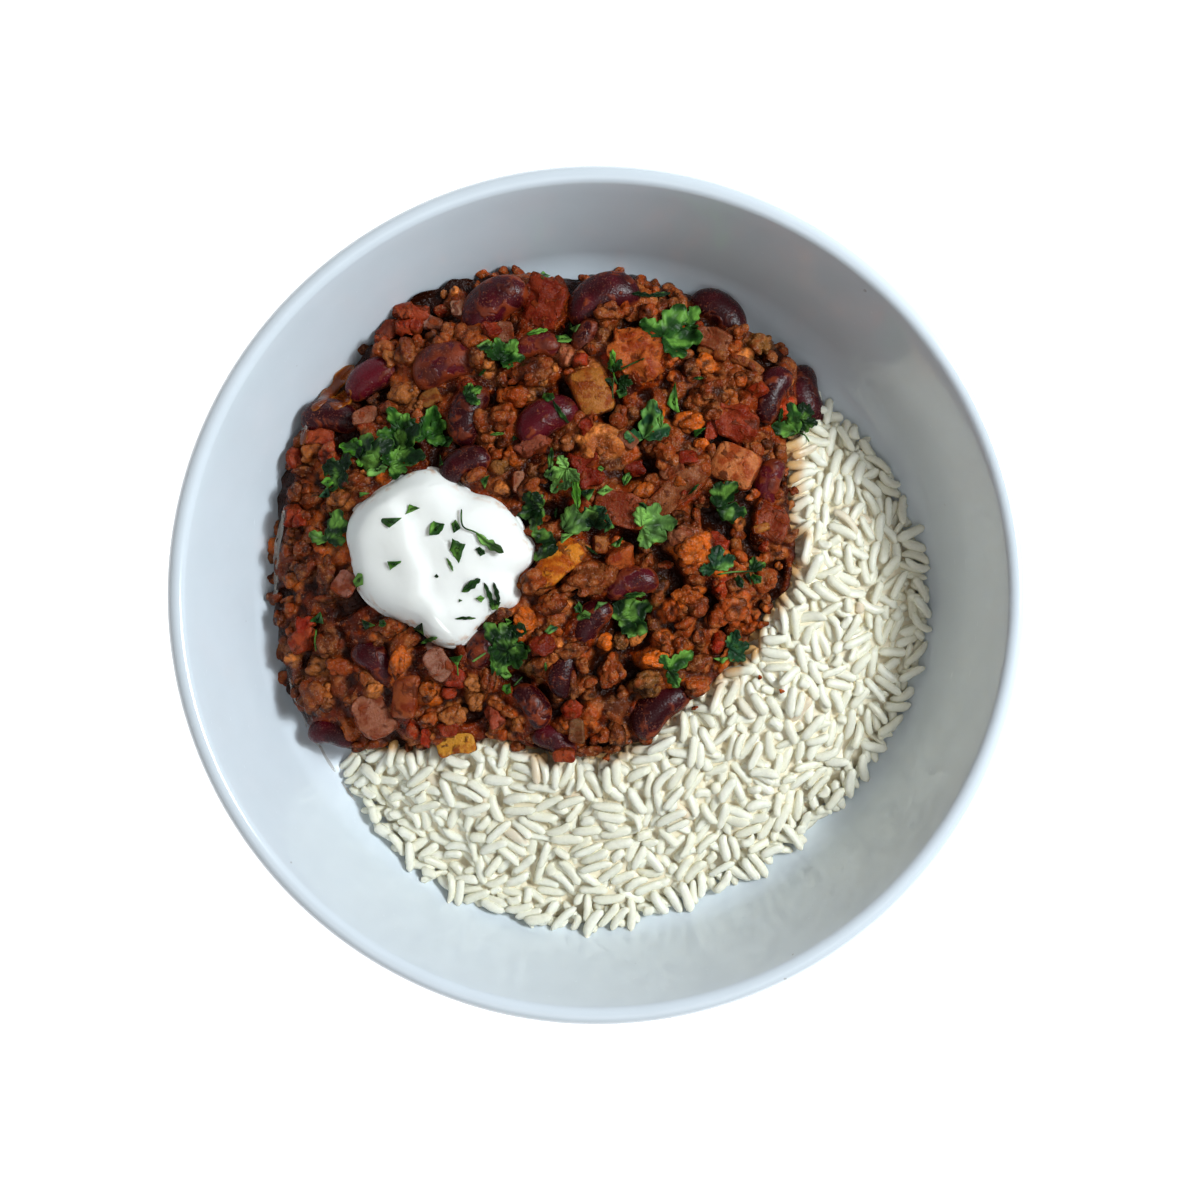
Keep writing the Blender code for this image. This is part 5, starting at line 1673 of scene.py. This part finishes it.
# kind, x, y, length, width, heading, shade. A frond has lobes and teeth, a chip is a cut fragment.
leafRows = [
    ("chip", -14.3, 86.5, 3.5, 3, 90, "vivid"), ("sliver", -16, 70, 6, 2, 10, "vivid"),
    ("chip", -7.5, 71, 5, 3, 90, "dark"), ("chip", -6, 71.5, 3, 2.4, 40, "pale"),
    ("chip", -9, 68.5, 4, 2.4, 0, "dark"), ("chip", -29.5, 66, 4, 3, 20, "dark"),
    ("frond", -24.5, 64.5, 7, 6, 60, "mid"), ("frond", -33, 53, 5, 4, 20, "mid"),
    ("sliver", -30.5, 59, 2.5, 0.9, 30, "mid"), ("chip", -13, 52.5, 4, 3, 120, "mid"),
    ("sliver", -9.6, 48.4, 7.5, 1.6, -55, "mid"), ("chip", 4, 63, 4, 2, 90, "vivid"),
    ("frond", 4, 60.5, 4, 3.4, 110, "mid"), ("frond", 7, 56.5, 4, 3.2, -20, "mid"),
    ("chip", 6.5, 54, 3, 2.6, 30, "mid"), ("chip", 3, 56, 3.4, 2.6, 160, "dark"),
    ("sliver", 12, 80.5, 6, 1.6, 0, "dark"), ("sliver", 17, 81.5, 6, 2, 5, "dark"),
    ("frond", 19.5, 72.5, 12, 10, 58, "mid"), ("frond", 25.5, 75.5, 7, 6, 60, "mid"),
    ("chip", 20.5, 51.5, 9, 4, 90, "mid"), ("sliver", 27, 58, 3, 1, 0, "mid"),
    ("frond", 13, 45, 10, 7, 80, "blue"), ("sliver", 17, 47, 5, 2, 90, "dark"),
    ("chip", 27, 43.5, 4, 2, 30, "mid"), ("frond", 53.5, 47, 8, 7, 110, "mid"),
    ("sliver", 49.5, 48.5, 4, 1.5, 90, "mid"), ("frond", 57.5, 49.5, 6, 5, 40, "dark"),
    ("frond", -60, 37.5, 9.5, 8.5, 20, "dark"), ("frond", -64, 38.5, 7, 5, 160, "vivid"),
    ("chip", -68, 38.5, 6, 3, 90, "dark"), ("frond", -69.5, 33.5, 8, 4.4, 170, "dark"),
    ("chip", -73, 33.5, 3, 1.6, 90, "mid"), ("chip", -71.5, 30.5, 5, 3, 10, "vivid"),
    ("chip", -70.5, 28.5, 2.6, 1.6, 0, "mid"), ("chip", -73, 27, 5, 3.5, 90, "blue"),
    ("chip", -58.5, 33.5, 6, 3.5, 20, "pale"), ("frond", -53, 35.5, 6.4, 5, 30, "mid"),
    ("chip", -61.5, 26.5, 3, 2.4, 0, "mid"), ("frond", -72, 17.5, 9, 5.4, 90, "dark"),
    ("chip", -71.5, 21, 5, 2.5, 20, "pale"), ("frond", -51, 40, 9, 7, 40, "dark"),
    ("frond", -54, 45, 7.4, 6.4, 120, "mid"), ("frond", -45, 45, 8.4, 6.6, 80, "mid"),
    ("chip", -29.5, 30, 4, 2.5, 40, "mid"), ("sliver", -26.5, 42.5, 4, 1, 10, "mid"),
    ("chip", -22, 41.5, 1.6, 1.4, 0, "mid"), ("chip", -41.5, 35.5, 3, 1.5, 90, "mid"),
    ("chip", -40, 41, 5, 3, 20, "dark"), ("sliver", -12, 35, 8, 2, 90, "dark"),
    ("frond", -9.5, 31.4, 8, 3.6, -130, "pale"), ("sliver", -5.3, 27, 9, 3, 90, "vivid"),
    ("chip", -3, 27, 5, 4, 40, "dark"), ("chip", 2, 27.5, 4, 3, 0, "pale"),
    ("frond", -17, 22.5, 8, 5.6, 200, "dark"), ("sliver", -11, 22, 3, 1, 90, "mid"),
    ("frond", -6, 19, 9.4, 7.4, 30, "pale"), ("frond", -1.5, 20.5, 6.4, 5, 100, "blue"),
    ("chip", 0.5, 22.5, 4, 3.6, 40, "blue"), ("chip", 3, 19, 5, 3, 90, "blue"),
    ("frond", -13.5, 14.5, 7.6, 6.4, 160, "dark"), ("chip", -9, 15, 5, 3, 10, "pale"),
    ("chip", 5.5, 14.5, 4, 3.5, 60, "mid"), ("chip", -8.5, 12.5, 1.6, 1, 0, "mid"),
    ("sliver", -1.5, 12, 4, 0.8, -40, "mid"), ("chip", 1, 33.5, 1.6, 1.4, 0, "mid"),
    ("chip", 7.5, 30.5, 3, 2, 90, "mid"), ("chip", 26.5, 43, 2.5, 2, 0, "mid"),
    ("chip", 8, 31, 3, 2, 60, "mid"), ("sliver", 25.5, 28, 4, 1, 40, "mid"),
    ("frond", 35.5, 23.5, 11, 7, 0, "dark"), ("chip", 12, 23.5, 2.2, 2, 0, "mid"),
    ("frond", 15, 18.5, 10, 6.4, 15, "pale"), ("frond", 32, 9.5, 7.4, 6.6, 80, "blue"),
    ("chip", 35.5, 9.5, 4, 2, 90, "dark"), ("chip", 38, 3.6, 3.4, 2.4, -60, "dark"),
    ("chip", 40.5, 4.2, 3.4, 2.4, -80, "dark"), ("frond", 42.6, 7.2, 4.4, 3.6, 30, "dark"),
    ("chip", 42.6, 4.4, 3.4, 2.6, -30, "mid"), ("sliver", 10, 0, 6, 2, 10, "mid"),
    ("chip", -75.5, -7, 5, 3.5, 90, "mid"), ("chip", -61.5, -7.5, 5, 3, 10, "dark"),
    ("chip", -57, -7.5, 2.2, 2, 0, "mid"), ("chip", -47, -9, 4, 3, 70, "dark"),
    ("sliver", -44.5, -12, 5, 1.5, 15, "mid"), ("chip", -37.5, -17.5, 5, 3, 20, "mid"),
    ("frond", -22.5, -11.5, 9, 8, 50, "dark"), ("frond", -26.5, -13, 8.4, 7, 150, "dark"),
    ("frond", -24, -16, 8, 7, 250, "mid"), ("sliver", -28, -18.5, 6, 1.6, 90, "mid"),
    ("chip", -20.5, -14, 6, 4.4, 0, "dark"), ("chip", -24, -7, 3, 2, 10, "mid"),
    ("chip", -24.5, -21, 3.4, 3, 0, "dark"), ("chip", -24, -25, 3.2, 2.6, 50, "vivid"),
    ("chip", -12, -9, 4.4, 2.6, 10, "blue"), ("sliver", -13.7, -19, 2.5, 0.9, 90, "mid"),
    ("chip", -5, -3.5, 3, 2, 90, "mid"), ("chip", -3.5, -5.5, 4, 2.6, 20, "dark"),
    ("chip", 1, -3, 4.6, 3, 10, "pale"), ("frond", 9, -5.5, 10, 8, 20, "dark"),
    ("frond", 21.5, -19, 9, 5.4, 20, "mid"), ("chip", 33.5, -17, 5, 2.6, 30, "mid"),
    ("frond", 38, -14, 7, 4.6, 10, "blue"), ("chip", -48.5, 22.5, 5, 2.2, 10, "mid"),
    ("chip", -54, 19, 7, 3, 180, "mid"), ("chip", -53, 8, 5.4, 2.6, 10, "mid"),
    ("chip", -63, 4, 3.6, 3.2, 45, "dark"), ("chip", -42, 17.5, 4.4, 4, 20, "mid"),
    ("chip", -36.5, 11.5, 5.4, 4.2, 100, "mid"), ("sliver", -28, 13.6, 9, 3.2, -38, "pale"),
    ("chip", -37, 18, 3.2, 2.5, 90, "mid"), ("chip", -30.5, 11.5, 3, 1.8, -40, "mid"),
    ("sliver", -38.5, 8, 4, 1, -60, "mid"), ("sliver", -33, 2.5, 6, 2.6, 30, "mid"),
    ("sliver", -28.5, 0, 7, 1.6, -70, "mid"), ("sliver", -26.5, 0.5, 6, 1.5, -80, "mid"),
    ("chip", -30.5, -1, 2.2, 1.6, 0, "mid"), ("chip", -42, 5, 1.2, 1, 0, "mid"),
    ("chip", -36, -1.5, 1.2, 1, 0, "mid"), ("sliver", -34.6, -6.2, 5.6, 1.1, 5, "mid"),
    ("chip", -27, -2.5, 3.2, 2.5, 20, "dark"),
]

# stems: the points they run through, and their thickness
stemRows = [
    ([(6, 59.5), (9.5, 61.4), (12.5, 62.5)], 0.55, "vivid"),
    ([(4.5, 58), (4.1, 55), (4.2, 52)], 0.5, "pale"), ([(4.2, 60.8), (4.4, 58.6), (5.4, 56)], 0.5, "vivid"),
    ([(54, 45), (56.6, 44), (58, 42)], 0.5, "mid"),
    ([(-35.5, 22.5), (-35, 18), (-31, 16), (-25, 11)], 0.5, "mid"),
    ([(32, 5.5), (36, 6.2), (42, 6.5)], 0.5, "mid"), ([(-37.2, -18), (-37, -21.5)], 0.45, "mid"),
    ([(-33, -17.6), (-29.4, -15.2)], 0.6, "pale"), ([(-22.2, -24.2), (-20, -21.8)], 0.5, "vivid"),
    ([(-75.5, -9), (-75.4, -15)], 0.45, "mid"), ([(-55, 43), (-51, 38.5)], 0.6, "vivid"),
]


def bladeFlat(length, width, teeth, chance):
    # one toothed lobe from its base at the origin along X: flat points, faces, and how near
    # each point is to a vein and to the rim
    along = np.linspace(0, 1, parsley["rows"])
    across = np.linspace(-1, 1, parsley["columns"])
    half = np.sin(math.pi * along**0.80) ** 0.62 * (0.9 + 0.1 * along)
    phase = chance.uniform(0, 1, 2)
    saw = np.stack([np.abs(((along * teeth + p) % 1) - 0.35) / 0.65 for p in phase], 1)
    side = np.where(across < 0, 0, 1)
    jag = 1 - parsley["toothDepth"] * saw[:, side] * np.abs(across) ** 3
    x = along[:, None] * length + np.abs(across) * half[:, None] * length * 0.10 * jag
    y = across * (half[:, None] * width / 2) * jag
    y = y + 0.04 * length * np.sin(along[:, None] * 3 + phase[0] * 6)
    points = np.stack([x.ravel(), y.ravel()], 1)
    vein = np.exp(-((across / 0.16) ** 2)) * (1 - 0.5 * along[:, None])
    rib = ((along[:, None] * teeth - np.abs(across) * 0.9) % 1 - 0.5) / 0.16
    ribs = 0.55 * np.exp(-rib ** 2) * (np.abs(across) > 0.1)
    edge = np.maximum(np.abs(across) * np.ones_like(x), along[:, None] ** 4)
    return points, gridFaces(*x.shape), np.maximum(vein, ribs).ravel(), edge.ravel()


def chipFlat(length, width, chance):
    # the same for a fragment with straight knife cuts, round its middle
    corners = chance.integers(3, 6)
    turn = (np.arange(corners) + chance.uniform(-0.28, 0.28, corners)) * math.tau / corners
    reach = chance.uniform(0.85, 1.12, corners)
    tips = np.stack([np.cos(turn) * reach * length / 2, np.sin(turn) * reach * width / 2], 1)
    steps = 5
    rim = np.concatenate([
        tips[i] + (tips[(i + 1) % corners] - tips[i]) * np.linspace(0, 1, steps, endpoint=False)[:, None]
        for i in range(corners)
    ])
    rim *= 1 + 0.04 * chance.normal(size=(len(rim), 1))
    rings = 4
    share = np.linspace(0, 1, rings + 1)[1:]
    points = np.concatenate([(share[:, None, None] * rim).reshape(-1, 2), [[0, 0]]])
    count = len(rim)
    first = np.arange(count)
    middle = np.stack([np.full(count, rings * count), first, np.roll(first, -1)], 1)
    faces = np.concatenate([gridFaces(rings, count, wrap=True), middle])
    slant = chance.uniform(-0.6, 0.6)
    vein = np.exp(-(((points[:, 1] + slant * points[:, 0]) / (0.09 * width)) ** 2))
    return points, faces, vein * 0.8, np.append(np.repeat(share, count), 0)


def rimOf(faces):
    # the edges that only one face uses
    ends = np.concatenate([faces[:, [0, 1]], faces[:, [1, 2]], faces[:, [2, 0]]])
    key = np.sort(ends, axis=1)
    _, index, count = np.unique(key, axis=0, return_inverse=True, return_counts=True)
    return ends[count[index.reshape(-1)] == 1]


def sheet(top, faces, thickness):
    # gives an open sheet an underside and closes its rim
    offset = len(top)
    rim = rimOf(faces)
    skirt = [
        np.stack([rim[:, 1], rim[:, 0], rim[:, 0] + offset], 1),
        np.stack([rim[:, 1], rim[:, 0] + offset, rim[:, 1] + offset], 1),
    ]
    below = top.copy()
    below[:, 2] -= thickness
    return np.concatenate([top, below]), np.concatenate([faces, faces[:, ::-1] + offset, *skirt])


def leafMesh(row, seed, level):
    kind, x, y, length, width, heading, shade = row
    chance = np.random.default_rng(seed)
    flats = []
    if kind == "frond":
        # three to five lobes from one base, the middle one longest
        size = math.hypot(length, width) * 0.80
        plan = [(0, 1.0, 0.66), (44, 0.84, 0.60), (-44, 0.84, 0.60)]
        if length > 5.5:
            plan += [(84, 0.62, 0.52), (-84, 0.62, 0.52)]
        kept = [plan[0]] + [lobe for lobe in plan[1:] if chance.random() > parsley["cutLobes"]]
        for turn, share, girth in kept:
            part = bladeFlat(size * share * chance.uniform(0.85, 1.1), size * girth, 3, chance)
            turn = math.radians(turn + chance.normal(0, 8))
            spin = np.array([[math.cos(turn), math.sin(turn)], [-math.sin(turn), math.cos(turn)]])
            flats.append((part[0] @ spin - (size * 0.36, 0), *part[1:]))
    elif kind == "sliver":
        part = bladeFlat(length, width, 3, chance)
        flats.append((part[0] - (length / 2, 0), *part[1:]))
    else:
        flats.append(chipFlat(length * 1.12, width * 1.12, chance))
    # it settles on the food like thin cloth, a little curled and ruffled
    size = max(length, width)
    tilt = chance.normal(0, parsley["tilt"], 2)
    curl, fold = chance.normal(*parsley["curl"]), chance.normal(*parsley["fold"])
    tint = np.array(parsley[shade]) * chance.uniform(0.8, 1.25)
    middle = foodLevels.spot(x, y, level)
    shapes = []
    for number, (flat, faces, vein, edge) in enumerate(flats):
        turned = np.column_stack([flat, np.zeros(len(flat))]) @ turnAbout(2, heading).T
        worldX, worldY = turned[:, 0] + x, turned[:, 1] + y
        lean = tilt[0] * flat[:, 0] + tilt[1] * flat[:, 1] + number * 0.07
        bend = curl * (flat[:, 0] / size * 2) ** 2 + fold * (np.sqrt(flat[:, 1] ** 2 + 0.1) / size * 2)
        bend = bend * size * 0.07
        shifted = flat[:, 0] + seed * 5.1 + number * 2.3
        ruffle = parsley["ruffle"] * size * flatBumps(shifted, flat[:, 1], size * 0.34, seed)
        drape = (foodLevels.at(worldX, worldY, level) - middle) * parsley["drape"]
        shapes.append((worldX, worldY, drape + lean + bend + ruffle - edge**6 * 0.12))
    allX, allY, allZ = (np.concatenate([shape[k] for shape in shapes]) for k in range(3))
    short = np.percentile(foodLevels.at(allX, allY) - (allZ + middle), parsley["clear"])
    lift = max(short, 0) + parsley["lift"]
    parts = []
    for (worldX, worldY, z), (flat, faces, vein, edge) in zip(shapes, flats):
        top = np.stack([worldX, worldY, z + middle + lift], 1)
        fields = {"tint": tint, "vein": np.tile(vein, 2), "edge": np.tile(edge, 2)}
        parts.append(outwards((*sheet(top, faces, parsley["thickness"]), fields)))
    return joined(parts)


def stemMesh(row, seed, level, sides=7):
    path, thick, shade = row
    chance = np.random.default_rng(seed)
    path = np.array(path, float)
    steps = np.linspace(0, len(path) - 1, 8 * (len(path) - 1) + 1)
    x, y = onCurve(path[:, 0], steps), onCurve(path[:, 1], steps)
    z = foodLevels.at(x, y, level) + thick * 0.9 + 0.5
    z = np.convolve(np.pad(z, 3, mode="edge"), np.ones(7) / 7, "valid")
    z = np.maximum(z, foodLevels.at(x, y) + thick * 0.2)
    line = np.stack([x, y, z], 1)
    ahead = np.gradient(line, axis=0)
    ahead /= np.linalg.norm(ahead, axis=1)[:, None]
    side = np.cross(ahead, (0, 0, 1))
    side /= np.linalg.norm(side, axis=1)[:, None]
    up = np.cross(side, ahead)
    a = np.arange(sides) * math.tau / sides
    places = [0, steps[-1] * 0.05, steps[-1] * 0.93, steps[-1]]
    radius = thick / 2 * np.interp(steps, places, [0.5, 1, 0.85, 0.3])
    ring = side[:, None] * np.cos(a)[:, None] + up[:, None] * np.sin(a)[:, None]
    points = (line[:, None] + ring * radius[:, None, None]).reshape(-1, 3)
    points = np.concatenate([points, line[[0, -1]]])
    tint = np.array(parsley[shade]) * chance.uniform(0.9, 1.3)
    return outwards((points, tubeFaces(len(steps), sides), {"tint": tint, "vein": 0.6, "edge": 0.2}))


def makeParsley():
    level = blurred(foodLevels.top, 1.8)
    parts = [leafMesh(row, 500 + i, level) for i, row in enumerate(leafRows)]
    parts += [stemMesh(row, 800 + i, level) for i, row in enumerate(stemRows)]
    addPiece("choppedParsley", joined(parts), parsleyFinish(), "parsley")


def parsleyFinish():
    made, shader, start = newFinish("parsleyLeaf", ior=1.42, specular=0.25)
    tint, vein, edge = start.field("tint", 1), start.field("vein"), start.field("edge")
    patch = start.noise(4.6, 1)
    cells = start.noise(0.5, 2)
    lit = start.mix(tint, (0.125, 0.265, 0.040), 0.95, "ADD")
    body = patch.between(0.48, 0.64).mix(tint, lit)
    # painted shade in patches, opposite the lit patches
    body = ((1 - patch).between(0.52, 0.66) * 0.7).mix(body, (0.003, 0.014, 0.003))
    body = (vein * 0.6).mix(body, (0.002, 0.010, 0.002))
    body = (edge.between(0.84, 1.0) * 0.45).mix(body, (0.05, 0.17, 0.02))
    plug(
        start, shader, colour=body, roughness=0.30 + cells * 0.22,
        normal=start.bump(patch * 1.5 + cells * 0.16 - vein * 0.9, 0.55, 0.95),
    )
    return made


makeParsley()


# the points each runs through, its width and its thickness
oilRows = [
    ([(-76.5, 49.5), (-73.6, 54), (-70.4, 58.6), (-66.6, 63)], 3.6, 0.9),
    ([(-73.5, 47.5), (-70.5, 51.5), (-66.5, 55.5)], 4.2, 0.8),
    ([(-80, 40.5), (-78.6, 44.5)], 2.2, 0.6),
]
# a painted highlight: pale see-through streaks by the bowl's wall, along the food's edge
paintedHighlightRows = [
    ([(-84.6, 24.5), (-86.9, 16), (-88.0, 8), (-88.2, 0)], 2.4, 0.5),
    ([(-78.8, 46.2), (-80.6, 43.4)], 2.0, 0.5),
    ([(-84.2, -22.5), (-83.6, -24.6), (-82.2, -29), (-81.2, -33), (-80.4, -36.6)], 0.8, 0.22),
    ([(-80, -38), (-77.2, -41.4), (-75.2, -45), (-72.6, -49)], 0.7, 0.20),
    ([(-71, -51.6), (-68.8, -54.6), (-67, -57)], 0.55, 0.16),
]


def filmMesh(row, seed):
    path, width, thick = row
    path = np.array(path, float)
    steps = np.linspace(0, len(path) - 1, 12 * (len(path) - 1) + 1)
    line = np.stack([onCurve(path[:, 0], steps), onCurve(path[:, 1], steps)], 1)
    ahead = np.gradient(line, axis=0)
    ahead /= np.linalg.norm(ahead, axis=1)[:, None]
    side = np.stack([-ahead[:, 1], ahead[:, 0]], 1)
    across = np.linspace(-1, 1, 9)
    taper = np.sqrt(np.clip(1 - (2 * steps / steps[-1] - 1) ** 4, 0.01, 1))
    reach = width / 2 * taper * (1 + 0.35 * flatBumps(line[:, 0], line[:, 1], 3, seed))
    spot = line[:, None] + side[:, None] * across[:, None] * reach[:, None, None]
    x, y = spot[..., 0], spot[..., 1]
    ground = foodLevels.at(x, y, filmGround)
    swell = thick * np.sqrt(np.maximum(1 - across**2, 0)) * taper[:, None]
    top = np.stack([x, y, ground + swell], -1).reshape(-1, 3)
    thin = np.tile((1 - swell / thick).ravel(), 2)
    return outwards((*sheet(top, gridFaces(*x.shape), swell.ravel() + 0.3), {"thin": thin}))


def filmFinish(name, colour, rim, alpha):
    made, shader, start = newFinish(name, roughness=0.1, ior=1.4, specular=0.5)
    thin = start.field("thin")
    body = thin.between(0.3, 0.9).mix(colour, rim)
    cloud = start.noise(1.6, 2)
    clear = alpha - thin.between(0.4, 1.0) * alpha * 0.5
    plug(start, shader, colour=body, alpha=clear, normal=start.bump(cloud, 0.2, 0.6))
    return made


filmGround = blurred(foodLevels.top, 1.6)
for kind, rows, seed, colour, rim, alpha in (
    ("oil", oilRows, 20, (0.16, 0.030, 0.004), (0.50, 0.16, 0.012), 0.9),
    # this pale film is a painted highlight
    ("paintedHighlight", paintedHighlightRows, 40, (0.48, 0.42, 0.36), (0.78, 0.77, 0.74), 0.42),
):
    part = joined([filmMesh(row, seed + i) for i, row in enumerate(rows)])
    addPiece(kind + "Film", part, filmFinish(kind + "Glaze", colour, rim, alpha), "chili")


studio = {
    "floorSize": 30.0,
    "floorColour": (0.93, 0.94, 0.95),
    "floorGlow": 0.8,
    # each lamp: heading, height in degrees, distance, size, power and colour
    "lamps": {
        "window": (17, 47, 0.95, 0.36, 6.2, (0.90, 0.965, 1.0)),
        "windowPane": (17, 47, 0.95, 0.09, 3.0, (0.90, 0.965, 1.0)),  # for the glints on wet sauce
        "overhead": (-95, 62, 1.4, 1.0, 2.6, (0.94, 0.97, 1.0)),
    },
    "lampsAim": 0.03,  # how high over the floor the lamps aim
    "surround": (0.97, 0.925, 0.87),
    "surroundStrength": 0.20,
    "lens": 53,
    "sensor": 36,
    "cameraPlace": (0.00076, -0.00127, 0.502),
}


def makeFloor():
    half = studio["floorSize"] / 2
    mesh = bpy.data.meshes.new("studioFloor")
    corners = [(-half, -half, 0), (half, -half, 0), (half, half, 0), (-half, half, 0)]
    mesh.from_pydata(corners, [], [(0, 1, 2, 3)])
    made, shader, start = newFinish(
        "floorPaper", roughness=0.75, specular=0.2, emission=studio["floorGlow"], emissionColour=(1, 1, 1)
    )
    paper = studio["floorColour"]
    plug(start, shader, colour=start.noise(3, 1).mix(paper, darker(paper, 0.985)))
    mesh.materials.append(made)
    floor = bpy.data.objects.new("studioFloor", mesh)
    bpy.context.scene.collection.objects.link(floor)


def addLamp(name, heading, height, distance, size, power, colour):
    lamp = bpy.data.lights.new(name, "AREA")
    lamp.shape = "SQUARE"
    lamp.size = size
    lamp.energy = power
    lamp.color = colour
    made = bpy.data.objects.new(name, lamp)
    side = distance * math.cos(math.radians(height))
    made.location = (
        side * math.cos(math.radians(heading)),
        side * math.sin(math.radians(heading)),
        distance * math.sin(math.radians(height)) + studio["lampsAim"],
    )
    made.rotation_euler = (0, math.radians(90 - height), math.radians(heading))
    bpy.context.scene.collection.objects.link(made)


def makeLight():
    for name, lamp in studio["lamps"].items():
        addLamp(name, *lamp)
    world = bpy.data.worlds.new("studioAir")
    world.use_nodes = True
    air = world.node_tree.nodes["Background"]
    air.inputs["Color"].default_value = (*studio["surround"], 1)
    air.inputs["Strength"].default_value = studio["surroundStrength"]
    bpy.context.scene.world = world


def makeCamera():
    lens = bpy.data.cameras.new("above")
    lens.lens = studio["lens"]
    lens.sensor_width = studio["sensor"]
    camera = bpy.data.objects.new("above", lens)
    camera.location = studio["cameraPlace"]
    bpy.context.scene.collection.objects.link(camera)
    bpy.context.scene.camera = camera


makeFloor()
makeLight()
makeCamera()
bpy.context.scene.view_settings.view_transform = "Standard"

print("floor, light and camera")
